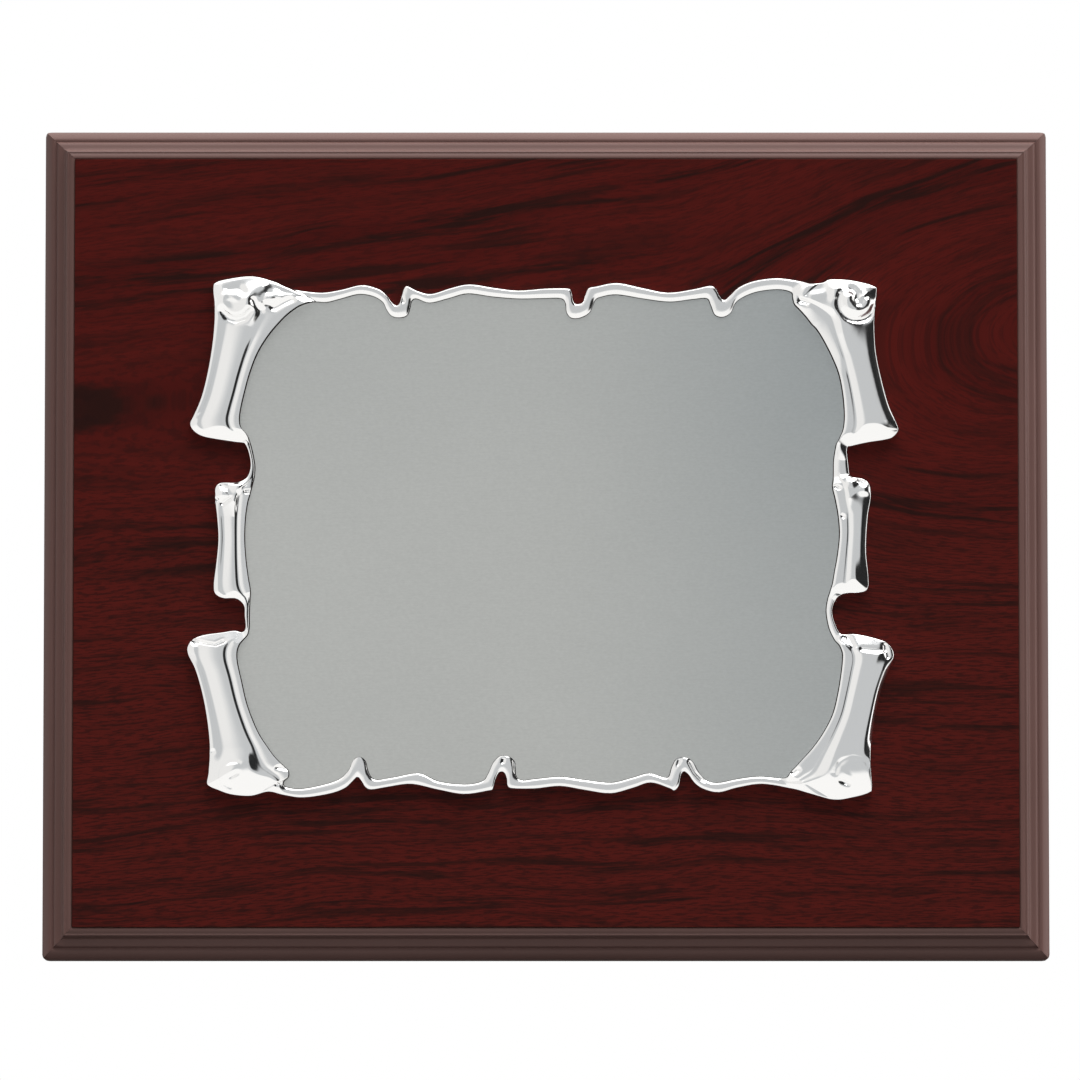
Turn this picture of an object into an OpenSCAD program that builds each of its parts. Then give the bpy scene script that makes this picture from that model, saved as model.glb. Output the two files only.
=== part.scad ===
// Award plaque: a veneered board in a mitred moulding, with a silver scroll plate on its face,
// a keyhole hanger and a folding strut on its back. Millimetres.
// The origin is the centre of the keyhole's round entry, on the back plane of the board.
// +X is to the right seen from the front, +Y points to the wall, +Z is up.

/* [Board] */
// Width of the whole board
board_w = 290; // [250:1:350]
// Height of the whole board
board_h = 240; // [210:1:290]
// Thickness of the whole board
board_t = 18; // [15:0.5:24]
// Thickness of the veneer and of the back sheet
skin_t = 0.6; // [0.4:0.1:1]
// Radius of the board's sanded outer corners
corner_r = 1.5; // [0.5:0.5:3]

/* [Moulding] */
// Visible width of the moulding
moulding_w = 9; // [7:0.5:12]
// How far the face stands above the moulding's inner bead
face_step = 0.4; // [0.2:0.1:1]
// Length of the tongue that enters the core
tongue_l = 4; // [3:0.5:6]
// Thickness of the tongue
tongue_t = 5; // [3:0.5:6]
// Gap all round the tongue in its groove
tongue_gap = 0.1; // [0.05:0.05:0.3]

/* [Scroll plate] */
// Width of the scroll frame over its side scrolls
plate_w = 204.8; // [170:0.2:230]
// Height of the scroll frame
plate_h = 151.8; // [126:0.2:182]
// Height of the frame's rim above the face
rim_h = 3; // [2.5:0.1:4]
// Height of the rolls above the face
roll_h = 5.4; // [4:0.1:6]
// Height of the two short side rolls above the face
mid_roll_h = 4.6; // [4:0.1:5.5]
// Height of the corner knots above the face
knot_h = 6; // [5.4:0.1:7.5]
// Thickness of the satin engraving sheet
sheet_t = 0.8; // [0.5:0.1:1.2]
// Gap between the engraving sheet and the frame
sheet_gap = 0.15; // [0.1:0.05:0.3]
// Thickness of the foam tape under the frame and the sheet
tape_t = 1; // [0.8:0.1:1.2]

/* [Keyhole hanger] */
// Distance from the board's top edge down to the keyhole's entry
hang_drop = 30; // [25:1:60]
// Width of the hanger plate
hanger_w = 45; // [38:1:56]
// Height of the hanger plate
hanger_h = 20; // [18:1:26]
// Thickness of the hanger plate
hanger_t = 1.5; // [1:0.1:2]
// Radius of the keyhole's round entry
entry_r = 4.5; // [4:0.1:5.5]
// Width of the keyhole's slot
slot_w = 4.5; // [4:0.1:5]
// Rise from the centre of the entry to the centre of the slot's top
slot_rise = 7; // [6:0.5:9]
// Depth of the pocket that takes the screw's head, from the back plane
pocket_d = 9; // [7:0.5:12]

/* [Strut] */
// Height of the hinge pin above the board's bottom edge
hinge_up = 150; // [120:1:170]
// Angle that the strut opens to
open_deg = 28; // [15:1:35]
// Thickness of the strut
strut_t = 3; // [2.5:0.1:4]
// Width of the strut at its top
strut_top_w = 34; // [30:1:45]
// Width of the strut at its foot
strut_foot_w = 60; // [45:1:80]
// Distance from the strut's foot to the board's bottom edge when folded
foot_lift = 3; // [2:0.5:6]
// Gap between the folded strut and the board's back
strut_gap = 0.5; // [0.3:0.1:1]

/* [Hinge] */
// Width of the hinge
hinge_w = 30; // [24:1:40]
// Length of each hinge leaf
leaf_l = 16; // [14:0.5:22]
// Thickness of each hinge leaf
leaf_t = 1; // [0.8:0.1:1.2]
// Radius of the hinge pin
pin_r = 1; // [0.8:0.05:1.2]
// Radial gap between the pin and the turning knuckle
pin_gap = 0.06; // [0.03:0.01:0.1]
// Gap between neighbouring knuckles
knuckle_gap = 0.15; // [0.1:0.05:0.3]

/* [Fasteners] */
// Radius of the wood screws' shanks
screw_r = 1.5; // [1.2:0.1:1.8]
// Radius of the wood screws' heads
screw_head_r = 2.8; // [2.4:0.1:3.2]
// Length of the wood screws
screw_l = 11; // [8:0.5:13]
// Radius of the strut's rivets
rivet_r = 1.5; // [1.2:0.1:1.8]
// Gap round a shank in its hole
hole_gap = 0.05; // [0.03:0.01:0.1]

/* [Wall bumpers] */
// Radius of a wall bumper
bumper_r = 6; // [5:0.5:8]
// Thickness of a wall bumper
bumper_t = 5.5; // [5:0.1:8]
// Distance from the board's edges to a bumper's centre
bumper_inset = 18; // [16:1:30]

/* [Hidden] */
$fn = 48;

// heights of the board in the part's frame
z_top = hang_drop;
z_bottom = z_top - board_h;
z_mid = z_top - board_h / 2;
panel_w = board_w - 2 * moulding_w;
panel_h = board_h - 2 * moulding_w;
core_t = board_t - 2 * skin_t;

// the moulding's section, whose curves keep their share of its width
bead_r = moulding_w / 3;
cove_r = moulding_w * 0.29;
top_bead_r = moulding_w * 0.27;
quirk = moulding_w * 0.035;
fillet = moulding_w - bead_r - cove_r - quirk - top_bead_r;
top_bead_v = board_t - face_step - top_bead_r;
cove_v = top_bead_v - quirk;
fillet_v = cove_v - cove_r;
bead_v = fillet_v - fillet - bead_r;
tongue_v = board_t / 2 - 1;
arc_steps = 8;

// the hinge: its axis lies behind the board, and the strut hangs below it
knuckle_r = (strut_gap + strut_t + leaf_t) / 2;
knuckle_lift = 0.1;
hinge_y = knuckle_r + knuckle_lift;
hinge_z = z_bottom + hinge_up;
knuckle_l = hinge_w / 3;
leaf_back_y = hinge_y + knuckle_r - knuckle_lift;
strut_back_y = leaf_back_y - leaf_t;
// clear space under the knuckles, above the wide part of the leaf and above the strut
leaf_clear = 0.5;
strut_clear = 1.5;
strut_top_z = hinge_z - knuckle_r - strut_clear;
strut_foot_z = z_bottom + foot_lift;
// the stop starts a wall's thickness outside the pin, and ends just short of the axis
stop_wall = 0.4;
stop_from = pin_r + stop_wall;
stop_l = knuckle_r * 2;
stop_gap = 0.1;
stop_t = hinge_y - leaf_t - 2 * stop_gap;
pin_end = 0.5;
// the cut corners of the strut's foot
foot_cut_w = 6;
foot_cut_h = 12;

// the screws and rivets, as [x, z]
hanger_mid_z = (slot_rise - 1) / 2;
hanger_corner = 3;
hanger_screw_in = 5;
hanger_xs = [-1, 1] * (hanger_w / 2 - hanger_screw_in);
leaf_side_in = 4.5;
leaf_end_in = 4;
screw_pitch = 6;
rivet_pitch = 5.5;
hinge_screw_spots = [
    for (side = [-1, 1], row = [0, 1])
        [side * (hinge_w / 2 - leaf_side_in), hinge_z + leaf_l - leaf_end_in - row * screw_pitch]
];
rivet_spots = [
    for (side = [-1, 1], row = [0, 1])
        [side * (hinge_w / 2 - leaf_side_in), hinge_z - leaf_l + leaf_end_in + row * rivet_pitch]
];
head_d = screw_head_r - screw_r;
rivet_head_r = rivet_r + 1.1;
rivet_head_h = 0.6;
// the pocket behind the keyhole: room beside and below its entry, and above its slot's top
pocket_side = 1.5;
pocket_over = 2.75;

// the scroll frame: each row is a rib [edge x, edge z, field x, field z] that runs from the
// frame's outer edge to the satin field, about the board's centre, clockwise from the front
TOP_RIM = [
    [-73, 73.3, -66, 69.3], [-65, 72.3, -63, 69.2], [-59, 73.1, -59, 70.2],
    [-53, 74.5, -54, 71.5], [-48, 73.3, -50, 71], [-45.5, 71.3, -47, 69.3],
    [-44.2, 69.5, -45.8, 67], [-43, 68.6, -44.5, 65.3], [-42.2, 69.5, -42.5, 64.7],
    [-41.6, 72, -40.2, 65.2], [-41, 73.6, -39.3, 67], [-39.8, 74.2, -38.7, 69.5],
    [-37, 72.8, -37.2, 70.2], [-33, 71.9, -33.5, 69], [-27.5, 73.6, -28, 70.3],
    [-22, 74.7, -22.5, 71.7], [-15, 73.7, -15.5, 70.8], [-8, 72.9, -8, 70.2],
    [0, 73.5, -1, 70.3], [6.2, 73.5, 4.3, 70.3], [7.6, 72.6, 5.7, 68.8],
    [8.1, 70, 6, 66.2], [8.8, 69, 7.4, 64.6], [10.4, 69.5, 10, 64.7],
    [11, 71.5, 12.6, 66.3], [12, 73.5, 14, 69.6], [14.5, 74.1, 15.8, 70.7],
    [20.5, 75.1, 20.5, 71.4], [28, 73.6, 28, 70.2], [35, 72.3, 35.5, 69.3],
    [42, 73.2, 42, 70], [47.3, 74.3, 46.3, 70.3], [49.2, 73.2, 47.5, 68.3],
    [50.3, 71.2, 48.7, 65.5], [51.3, 70.2, 51, 64.9], [52.8, 71.5, 53.2, 66.2],
    [55.5, 73.9, 55, 69.5], [60, 75.7, 60, 72], [66.5, 76.5, 66.5, 72.9],
    [73, 75.7, 70.6, 72.1]
];
TOP_RIGHT_ROLL = [
    [76.5, 74.9, 71.1, 70.3], [79.5, 75.1, 71.6, 68.5], [82, 76.1, 73, 67],
    [88.5, 75.7, 74.8, 65], [94.8, 73.9, 76.5, 62.8], [95.5, 71.5, 78, 61.2],
    [94.8, 64, 80, 58], [95.3, 55, 82.5, 53], [97, 46.5, 84.4, 48],
    [98.9, 39.5, 85.5, 42], [101, 34.5, 85.9, 36.5], [101.6, 32, 85.7, 33.2],
    [100, 29.8, 85.3, 31.5], [97.5, 28.9, 84.8, 30.4], [92.5, 28.1, 84.4, 29.5],
    [88, 27.1, 84, 28.7], [86.9, 26.6, 83.5, 27.8]
];
RIGHT_UPPER_NOTCH = [[87.2, 23, 82.8, 23.5], [87.7, 19.3, 82.7, 19.3]];
MID_RIGHT_ROLL = [
    [89, 18.7, 82.6, 17.5], [91.8, 18, 82.4, 16], [93.5, 16, 82.6, 14.5],
    [93.7, 13, 83.2, 12], [93, 8, 84, 7.5], [92.5, 2, 84.4, 2],
    [92.4, -4, 83.8, -4], [92.9, -10, 82.9, -9], [92.8, -13.5, 82.4, -12],
    [91, -15.1, 82, -13.5], [86, -15.5, 81.5, -15]
];
RIGHT_LOWER_NOTCH = [
    [83.8, -16.8, 80.9, -17], [82.5, -20, 80.5, -20.5], [83.3, -23.7, 81.3, -25],
    [84.6, -26.2, 82.8, -28.3]
];
BOTTOM_RIGHT_ROLL = [
    [86, -26.6, 83.8, -29.5], [89, -26.5, 84.5, -30.5], [94.5, -27.7, 85, -31.8],
    [98.5, -29.3, 85.2, -33], [100.4, -32.7, 85.1, -35], [98.8, -37, 84.7, -38.5],
    [96.6, -43, 83.8, -44], [95, -50, 82.3, -50], [93.9, -57, 79.5, -55.5],
    [93.3, -64, 76.3, -60], [93.7, -71, 73.3, -63.3], [92.8, -72.8, 71.8, -65],
    [88, -74.2, 70.5, -66.3], [82.5, -74.9, 69.8, -67.3], [76, -73.4, 69, -68.2]
];
BOTTOM_RIM = [
    [70.5, -71.8, 67, -68.4], [62, -70.4, 61, -67.9], [55, -71.4, 55, -68.6],
    [49.5, -72.8, 49.5, -69.7], [45, -71.8, 46.2, -69.2], [42.3, -70, 44, -67],
    [40.8, -67.8, 42.3, -64], [39.6, -66.8, 40.5, -62.6], [38.9, -68, 37.7, -62.7],
    [38.4, -70.8, 36.2, -65], [36.8, -72.3, 35.3, -67.8], [35.2, -71.6, 33.8, -68.2],
    [30, -70, 29.5, -67], [25, -71.5, 24.5, -68.3], [18.5, -73.1, 18.5, -69.7],
    [11, -72.1, 11, -68.9], [4, -71, 4, -68], [-3, -71.7, -3, -68.6],
    [-9, -71.7, -7, -69], [-11.2, -71, -8.7, -67.5], [-11.6, -68.5, -8.9, -64],
    [-12.2, -67, -10.5, -62.3], [-13.3, -67.1, -12.9, -62], [-14.3, -69.3, -15, -63.8],
    [-14.9, -71.7, -16.5, -67], [-16.5, -72.3, -18.3, -69.3], [-23.5, -73.3, -23.5, -70.2],
    [-31, -72, -31, -69.3], [-38.5, -70.4, -36.5, -67], [-45, -71.2, -44, -68.2],
    [-50, -72, -49.1, -68.8], [-52, -71.2, -51, -66.5], [-53, -69.7, -51.8, -63.5],
    [-54, -68.4, -53.5, -62.3], [-55.1, -69.5, -55.3, -63.4], [-57.5, -71.6, -56.8, -66.5],
    [-62, -73.2, -60.5, -69.3], [-69.5, -74.3, -69.5, -71.4], [-75, -73.6, -74.6, -70.9]
];
BOTTOM_LEFT_ROLL = [
    [-79.5, -72.6, -75.3, -69.4], [-84.5, -73.8, -73.9, -68], [-90, -73.4, -73.9, -66.3],
    [-94, -72.1, -75, -65.1], [-97.3, -70.3, -76.7, -63.5], [-97, -66.5, -78.2, -61.8],
    [-96.7, -60, -80, -59.3], [-97.3, -53, -82.8, -54.8], [-98.7, -45, -85.7, -47.5],
    [-100.8, -37.5, -87.5, -40], [-103, -32.7, -88.6, -35], [-103, -30, -88.7, -32],
    [-101, -27.8, -88.1, -30], [-98, -26.7, -87.3, -28.9], [-93, -26, -86.4, -27.9],
    [-89.5, -25.5, -85.7, -27], [-87.2, -25.9, -85.4, -25.9]
];
LEFT_LOWER_NOTCH = [
    [-86.5, -24.6, -85.2, -24.6], [-86.8, -21.5, -85.2, -21.5], [-87, -18.8, -85.1, -18.5]
];
MID_LEFT_ROLL = [
    [-89, -17, -85, -16.3], [-92.8, -16.8, -84.9, -14.7], [-95.2, -15.4, -85.1, -13],
    [-95.7, -12.5, -85.5, -10.8], [-95, -6.5, -86.2, -5.5], [-94.4, 0.5, -86.6, 0.5],
    [-94.8, 7, -86.4, 6.5], [-95.4, 12.5, -85.8, 11], [-95.2, 15.6, -85.2, 13.2],
    [-93.5, 17.1, -84.8, 14.8], [-89, 17.3, -84.4, 16.3]
];
LEFT_UPPER_NOTCH = [
    [-86.3, 18.6, -83.9, 18.5], [-85.2, 21.5, -83.7, 21.5], [-85.6, 25, -84.2, 24.8],
    [-86.8, 27.8, -85, 28]
];
TOP_LEFT_ROLL = [
    [-89, 28.2, -85.6, 29.7], [-95, 29.1, -86.3, 31], [-99, 30, -87.2, 32],
    [-101.6, 31.7, -88, 33.3], [-102.6, 34, -88.2, 35.5], [-101.3, 37, -87.8, 38.5],
    [-99.3, 42, -86.9, 42.5], [-97.6, 49, -85.3, 48.5], [-96.3, 57, -83, 54.5],
    [-95.7, 65, -79.7, 59.8], [-96.1, 73, -76.3, 63.8], [-95, 75.2, -74, 66],
    [-90, 76.5, -71.5, 67.8], [-84, 76.9, -69.5, 68.7], [-78, 75.3, -67.6, 69.2]
];
CORNER_ROLLS = [TOP_RIGHT_ROLL, BOTTOM_RIGHT_ROLL, BOTTOM_LEFT_ROLL, TOP_LEFT_ROLL];
MID_ROLLS = [MID_RIGHT_ROLL, MID_LEFT_ROLL];
RIBS = concat(
    TOP_RIM, TOP_RIGHT_ROLL, RIGHT_UPPER_NOTCH, MID_RIGHT_ROLL, RIGHT_LOWER_NOTCH,
    BOTTOM_RIGHT_ROLL, BOTTOM_RIM, BOTTOM_LEFT_ROLL, LEFT_LOWER_NOTCH, MID_LEFT_ROLL,
    LEFT_UPPER_NOTCH, TOP_LEFT_ROLL
);
// how many straight steps stand for the curve between two ribs
curve_steps = 3;

// the drawn ribs span these sizes, and are stretched to plate_w and plate_h
drawn_w = max([for (r = RIBS) r[0]]) - min([for (r = RIBS) r[0]]);
drawn_h = max([for (r = RIBS) r[1]]) - min([for (r = RIBS) r[1]]);
stretch = [plate_w / drawn_w, plate_h / drawn_h];

// the first and last rib of each corner roll's knot, in the order of CORNER_ROLLS
KNOT_RIBS = [[1, 6], [9, 13], [1, 5], [10, 13]];
// the raised part of a roll or knot, as shares of the way from the frame's edge to the field
CORNER_BAND = [0.12, 0.78];
MID_BAND = [0.14, 0.72];
KNOT_BAND = [0.22, 0.68];
pad_gap = 0.1;
// tape pads under the rolls, as [x, z, width, height]
FRAME_PADS = [
    [-92, 50, 5, 24], [91, 50, 5, 24], [-92.5, -48, 5, 24], [90, -48, 5, 24],
    [-90.5, 0, 4, 16], [88.3, 0, 4, 16]
];
// tape strips under the engraving sheet, as [x, z, width, height]
SHEET_PADS = [
    for (x = [-42, 42], z = [-44, 0, 44])
        [x, z, 60, 12]
];

// ---------------------------------------------------------------- helpers

// a flat outline in X and Z, given thickness t towards the front from the plane y
module slab(y, t) {
    translate([0, y, 0]) rotate([90, 0, 0]) linear_extrude(t) children();
}

// a round bar along Y that starts at depth y
module bar_y(x, y, z, l, r) {
    translate([x, y, z]) rotate([-90, 0, 0]) cylinder(h = l, r = r);
}

// a round bar along X from x0 on the hinge's axis
module bar_x(x0, l, r) {
    translate([x0, hinge_y, hinge_z]) rotate([0, 90, 0]) cylinder(h = l, r = r);
}

// a point of the smooth curve through b and c, with neighbours a and d
function curve_point(a, b, c, d, t) =
    0.5 * (2 * b + (c - a) * t + (2 * a - 5 * b + 4 * c - d) * t * t
        + (3 * b - a - 3 * c + d) * t * t * t);

// the closed smooth curve through a list of points
function closed_curve(p) = [
    for (i = [0 : len(p) - 1], k = [0 : curve_steps - 1])
        let (n = len(p))
        curve_point(p[(i + n - 1) % n], p[i], p[(i + 1) % n], p[(i + 2) % n], k / curve_steps)
];

// a drawn point at its place on the stretched plate
function placed(x, z) = [x * stretch[0], z_mid + z * stretch[1]];
function rib_point(r, s) = placed(r[0] + s * (r[2] - r[0]), r[1] + s * (r[3] - r[1]));

// a closed curve moved by a distance to its right-hand side, which is its inside when clockwise
function moved_in(p, by) = [
    for (i = [0 : len(p) - 1])
        let (n = len(p), along = p[(i + 1) % n] - p[(i + n - 1) % n])
        p[i] + by * [along[1], -along[0]] / norm(along)
];

// a band of a roll, between two shares of its ribs
function roll_band(roll, s0, s1) = concat(
    [for (r = roll) rib_point(r, s0)],
    [for (i = [len(roll) - 1 : -1 : 0]) rib_point(roll[i], s1)]
);

function ribs_between(roll, ends) = [for (i = [ends[0] : ends[1]]) roll[i]];

// an arc of a section's outline
function arc(cu, cv, r, from, to) = [
    for (i = [0 : arc_steps])
        let (a = from + (to - from) * i / arc_steps)
        [cu + r * cos(a), cv + r * sin(a)]
];

// a rectangle with round corners, centred in X and on z
function round_rect(w, h, r, z) = [
    for (q = [[1, 1, 0], [-1, 1, 90], [-1, -1, 180], [1, -1, 270]], p = arc(0, 0, r, q[2], q[2] + 90))
        [q[0] * (w / 2 - r) + p[0], z + q[1] * (h / 2 - r) + p[1]]
];

module pads(list, y, extra) {
    for (p = list)
        let (at = placed(p[0], p[1]), w = p[2] + 2 * extra, h = p[3] + 2 * extra)
        translate([at[0] - w / 2, y - tape_t, at[1] - h / 2]) cube([w, tape_t, h]);
}

// a countersunk wood screw that points to the front, its head's flat at depth y
module wood_screw(x, y, z) {
    bar_y(x, y - screw_l, z, screw_l - head_d, screw_r);
    translate([x, y - head_d, z]) rotate([-90, 0, 0])
        cylinder(h = head_d, r1 = screw_r, r2 = screw_head_r);
}

// the hole and the countersink for a wood screw
module screw_hole(x, y, z) {
    bar_y(x, y - screw_l - 1, z, screw_l + 2, screw_r + hole_gap);
    translate([x, y - head_d, z]) rotate([-90, 0, 0])
        cylinder(h = head_d + hole_gap, r1 = screw_r + hole_gap, r2 = screw_head_r + 2 * hole_gap);
}

// ---------------------------------------------------------------- the board

module core_panel() {
    color("burlywood") difference() {
        translate([-panel_w / 2, -board_t + skin_t, z_mid - panel_h / 2])
            cube([panel_w, core_t, panel_h]);
        tongue_groove();
        hanger_recess();
        // the pocket behind the keyhole, where the wall screw's head goes
        translate([-entry_r - pocket_side, -pocket_d, -entry_r - pocket_side])
            cube([
                2 * (entry_r + pocket_side), pocket_d + 1,
                slot_rise + slot_w / 2 + pocket_over + entry_r + pocket_side
            ]);
        for (x = hanger_xs) screw_hole(x, 0, hanger_mid_z);
        for (s = hinge_screw_spots) screw_hole(s[0], leaf_t, s[1]);
    }
}

// the groove round the core's edge for the mouldings' tongues
module tongue_groove() {
    depth = tongue_l + tongue_gap;
    width = tongue_t + 2 * tongue_gap;
    slab(-tongue_v + tongue_t / 2 + tongue_gap, width) difference() {
        translate([-panel_w / 2 - 1, z_mid - panel_h / 2 - 1])
            square([panel_w + 2, panel_h + 2]);
        translate([-panel_w / 2 + depth, z_mid - panel_h / 2 + depth])
            square([panel_w - 2 * depth, panel_h - 2 * depth]);
    }
}

// the shallow recess that the hanger plate lies in
module hanger_recess() {
    w = hanger_w + 2 * tongue_gap;
    h = hanger_h + 2 * tongue_gap;
    translate([-w / 2, -hanger_t, hanger_mid_z - h / 2]) cube([w, hanger_t + 1, h]);
}

module front_veneer() {
    color([0.26, 0.09, 0.08]) slab(-board_t + skin_t, skin_t)
        translate([-panel_w / 2, z_mid - panel_h / 2]) square([panel_w, panel_h]);
}

module back_sheet() {
    color([0.32, 0.26, 0.22]) difference() {
        slab(0, skin_t) translate([-panel_w / 2, z_mid - panel_h / 2]) square([panel_w, panel_h]);
        hanger_recess();
        for (s = hinge_screw_spots) screw_hole(s[0], leaf_t, s[1]);
    }
}

// ---------------------------------------------------------------- the mouldings

// the section, as [inwards from the edge, forwards from the back plane]
function moulding_section() = concat(
    [[0, 0]],
    arc(bead_r, bead_v, bead_r, 180, 90),
    [[bead_r, fillet_v], [bead_r + fillet, fillet_v]],
    arc(bead_r + fillet, cove_v, cove_r, 270, 360),
    [[bead_r + fillet + cove_r, top_bead_v]],
    arc(moulding_w, top_bead_v, top_bead_r, 180, 90),
    [
        [moulding_w, tongue_v + tongue_t / 2],
        [moulding_w + tongue_l, tongue_v + tongue_t / 2],
        [moulding_w + tongue_l, tongue_v - tongue_t / 2],
        [moulding_w, tongue_v - tongue_t / 2],
        [moulding_w, 0]
    ]
);

// one mitred length, l long, whose outer edge lies reach from the board's centre, turned to its side
module moulding(l, reach, turn) {
    inside = moulding_w + tongue_l;
    color([0.36, 0.26, 0.24]) intersection() {
        translate([0, 0, z_mid]) rotate([0, turn, 0]) translate([0, 0, -reach]) intersection() {
            rotate([180, -90, 0]) linear_extrude(l, center = true) polygon(moulding_section());
            slab(1, board_t + 2) polygon([
                [-l / 2, 0], [l / 2, 0], [l / 2 - inside, inside], [inside - l / 2, inside]
            ]);
        }
        slab(2, board_t + 4) polygon(round_rect(board_w, board_h, corner_r, z_mid));
    }
}

module bottom_moulding() { moulding(board_w, board_h / 2, 0); }
module left_moulding() { moulding(board_h, board_w / 2, 90); }
module top_moulding() { moulding(board_w, board_h / 2, 180); }
module right_moulding() { moulding(board_h, board_w / 2, 270); }

// ---------------------------------------------------------------- the scroll plate

edge_curve = closed_curve([for (r = RIBS) rib_point(r, 0)]);
field_curve = closed_curve([for (r = RIBS) rib_point(r, 1)]);

// a stretch of the frame raised to a height above the face, rooted in the middle of the rim
module raised(ribs, h, band) {
    slab(-board_t - rim_h / 2, h - rim_h / 2) polygon(roll_band(ribs, band[0], band[1]));
}

module scroll_frame() {
    color("silver") difference() {
        union() {
            slab(-board_t, rim_h) difference() {
                polygon(edge_curve);
                polygon(field_curve);
            }
            for (roll = CORNER_ROLLS) raised(roll, roll_h, CORNER_BAND);
            for (roll = MID_ROLLS) raised(roll, mid_roll_h, MID_BAND);
            for (i = [0 : 3])
                raised(ribs_between(CORNER_ROLLS[i], KNOT_RIBS[i]), knot_h, KNOT_BAND);
        }
        pads(FRAME_PADS, -board_t, pad_gap);
    }
}

module engraving_sheet() {
    color([0.66, 0.67, 0.65]) slab(-board_t - tape_t, sheet_t)
        polygon(moved_in(field_curve, sheet_gap));
}

module frame_pads() {
    color([0.85, 0.85, 0.8]) pads(FRAME_PADS, -board_t, 0);
}

module sheet_pads() {
    color([0.85, 0.85, 0.8]) pads(SHEET_PADS, -board_t, 0);
}

// ---------------------------------------------------------------- the keyhole hanger

module keyhole_hanger() {
    color([0.8, 0.7, 0.45]) difference() {
        slab(0, hanger_t) polygon(round_rect(hanger_w, hanger_h, hanger_corner, hanger_mid_z));
        bar_y(0, -hanger_t - 1, 0, hanger_t + 2, entry_r);
        bar_y(0, -hanger_t - 1, slot_rise, hanger_t + 2, slot_w / 2);
        translate([-slot_w / 2, -hanger_t - 1, 0]) cube([slot_w, hanger_t + 2, slot_rise]);
        for (x = hanger_xs) screw_hole(x, 0, hanger_mid_z);
    }
}

module hanger_screws() {
    color([0.75, 0.7, 0.55]) for (x = hanger_xs) wood_screw(x, 0, hanger_mid_z);
}

// ---------------------------------------------------------------- the strut and its hinge

// the outer knuckles belong to the board's leaf, the middle one to the strut's leaf
module hinge_board_leaf() {
    color([0.78, 0.68, 0.42]) difference() {
        union() {
            translate([-hinge_w / 2, 0, hinge_z]) cube([hinge_w, leaf_t, leaf_l]);
            for (x = [-hinge_w / 2, hinge_w / 2 - knuckle_l]) {
                bar_x(x, knuckle_l, knuckle_r);
                translate([x, 0, hinge_z]) cube([knuckle_l, hinge_y, knuckle_r]);
            }
        }
        bar_x(-hinge_w, 2 * hinge_w, pin_r + hole_gap);
        // room for the middle knuckle to turn
        bar_x(-knuckle_l / 2, knuckle_l, knuckle_r + knuckle_gap);
        for (s = hinge_screw_spots) screw_hole(s[0], leaf_t, s[1]);
    }
}

module hinge_strut_leaf() {
    mid_l = knuckle_l - 2 * knuckle_gap;
    wide_top = hinge_z - knuckle_r - leaf_clear;
    color([0.78, 0.68, 0.42]) difference() {
        union() {
            bar_x(-mid_l / 2, mid_l, knuckle_r);
            translate([-mid_l / 2, strut_back_y, wide_top - 1])
                cube([mid_l, leaf_t, hinge_z - wide_top + 1]);
            translate([-hinge_w / 2, strut_back_y, hinge_z - leaf_l])
                cube([hinge_w, leaf_t, wide_top - hinge_z + leaf_l]);
            // the stop, which meets the board's leaf when the strut is open
            translate([0, hinge_y, hinge_z]) rotate([-open_deg, 0, 0])
                translate([-mid_l / 2, leaf_t + stop_gap - hinge_y, stop_from])
                cube([mid_l, stop_t, stop_l - stop_from]);
        }
        bar_x(-mid_l, 2 * mid_l, pin_r + pin_gap);
        for (s = rivet_spots) bar_y(s[0], 0, s[1], leaf_back_y + 1, rivet_r + hole_gap);
    }
}

module hinge_pin() {
    color([0.7, 0.7, 0.7]) bar_x(-hinge_w / 2 - pin_end, hinge_w + 2 * pin_end, pin_r);
}

module hinge_screws() {
    color([0.75, 0.7, 0.55]) for (s = hinge_screw_spots) wood_screw(s[0], leaf_t, s[1]);
}

module strut() {
    color([0.08, 0.08, 0.08]) difference() {
        slab(strut_back_y, strut_t) polygon([
            [-strut_top_w / 2, strut_top_z], [strut_top_w / 2, strut_top_z],
            [strut_foot_w / 2, strut_foot_z + foot_cut_h],
            [strut_foot_w / 2 - foot_cut_w, strut_foot_z],
            [foot_cut_w - strut_foot_w / 2, strut_foot_z],
            [-strut_foot_w / 2, strut_foot_z + foot_cut_h]
        ]);
        for (s = rivet_spots) bar_y(s[0], 0, s[1], leaf_back_y + 1, rivet_r + hole_gap);
    }
}

module strut_rivets() {
    color([0.75, 0.7, 0.55]) for (s = rivet_spots)
        bar_y(s[0], strut_back_y - strut_t, s[1], strut_t + leaf_t, rivet_r);
    color([0.75, 0.7, 0.55]) for (s = rivet_spots)
        bar_y(s[0], leaf_back_y, s[1], rivet_head_h, rivet_head_r);
}

// ---------------------------------------------------------------- the wall bumpers

module wall_bumpers() {
    color([0.12, 0.12, 0.12])
        for (x = [-1, 1] * (board_w / 2 - bumper_inset), up = [-1, 1])
            bar_y(x, 0, z_mid + up * (board_h / 2 - bumper_inset), bumper_t, bumper_r);
}

core_panel();
front_veneer();
back_sheet();
top_moulding();
bottom_moulding();
left_moulding();
right_moulding();
scroll_frame();
engraving_sheet();
frame_pads();
sheet_pads();
keyhole_hanger();
hanger_screws();
hinge_board_leaf();
hinge_pin();
hinge_screws();
strut();
hinge_strut_leaf();
strut_rivets();
wall_bumpers();
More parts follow.
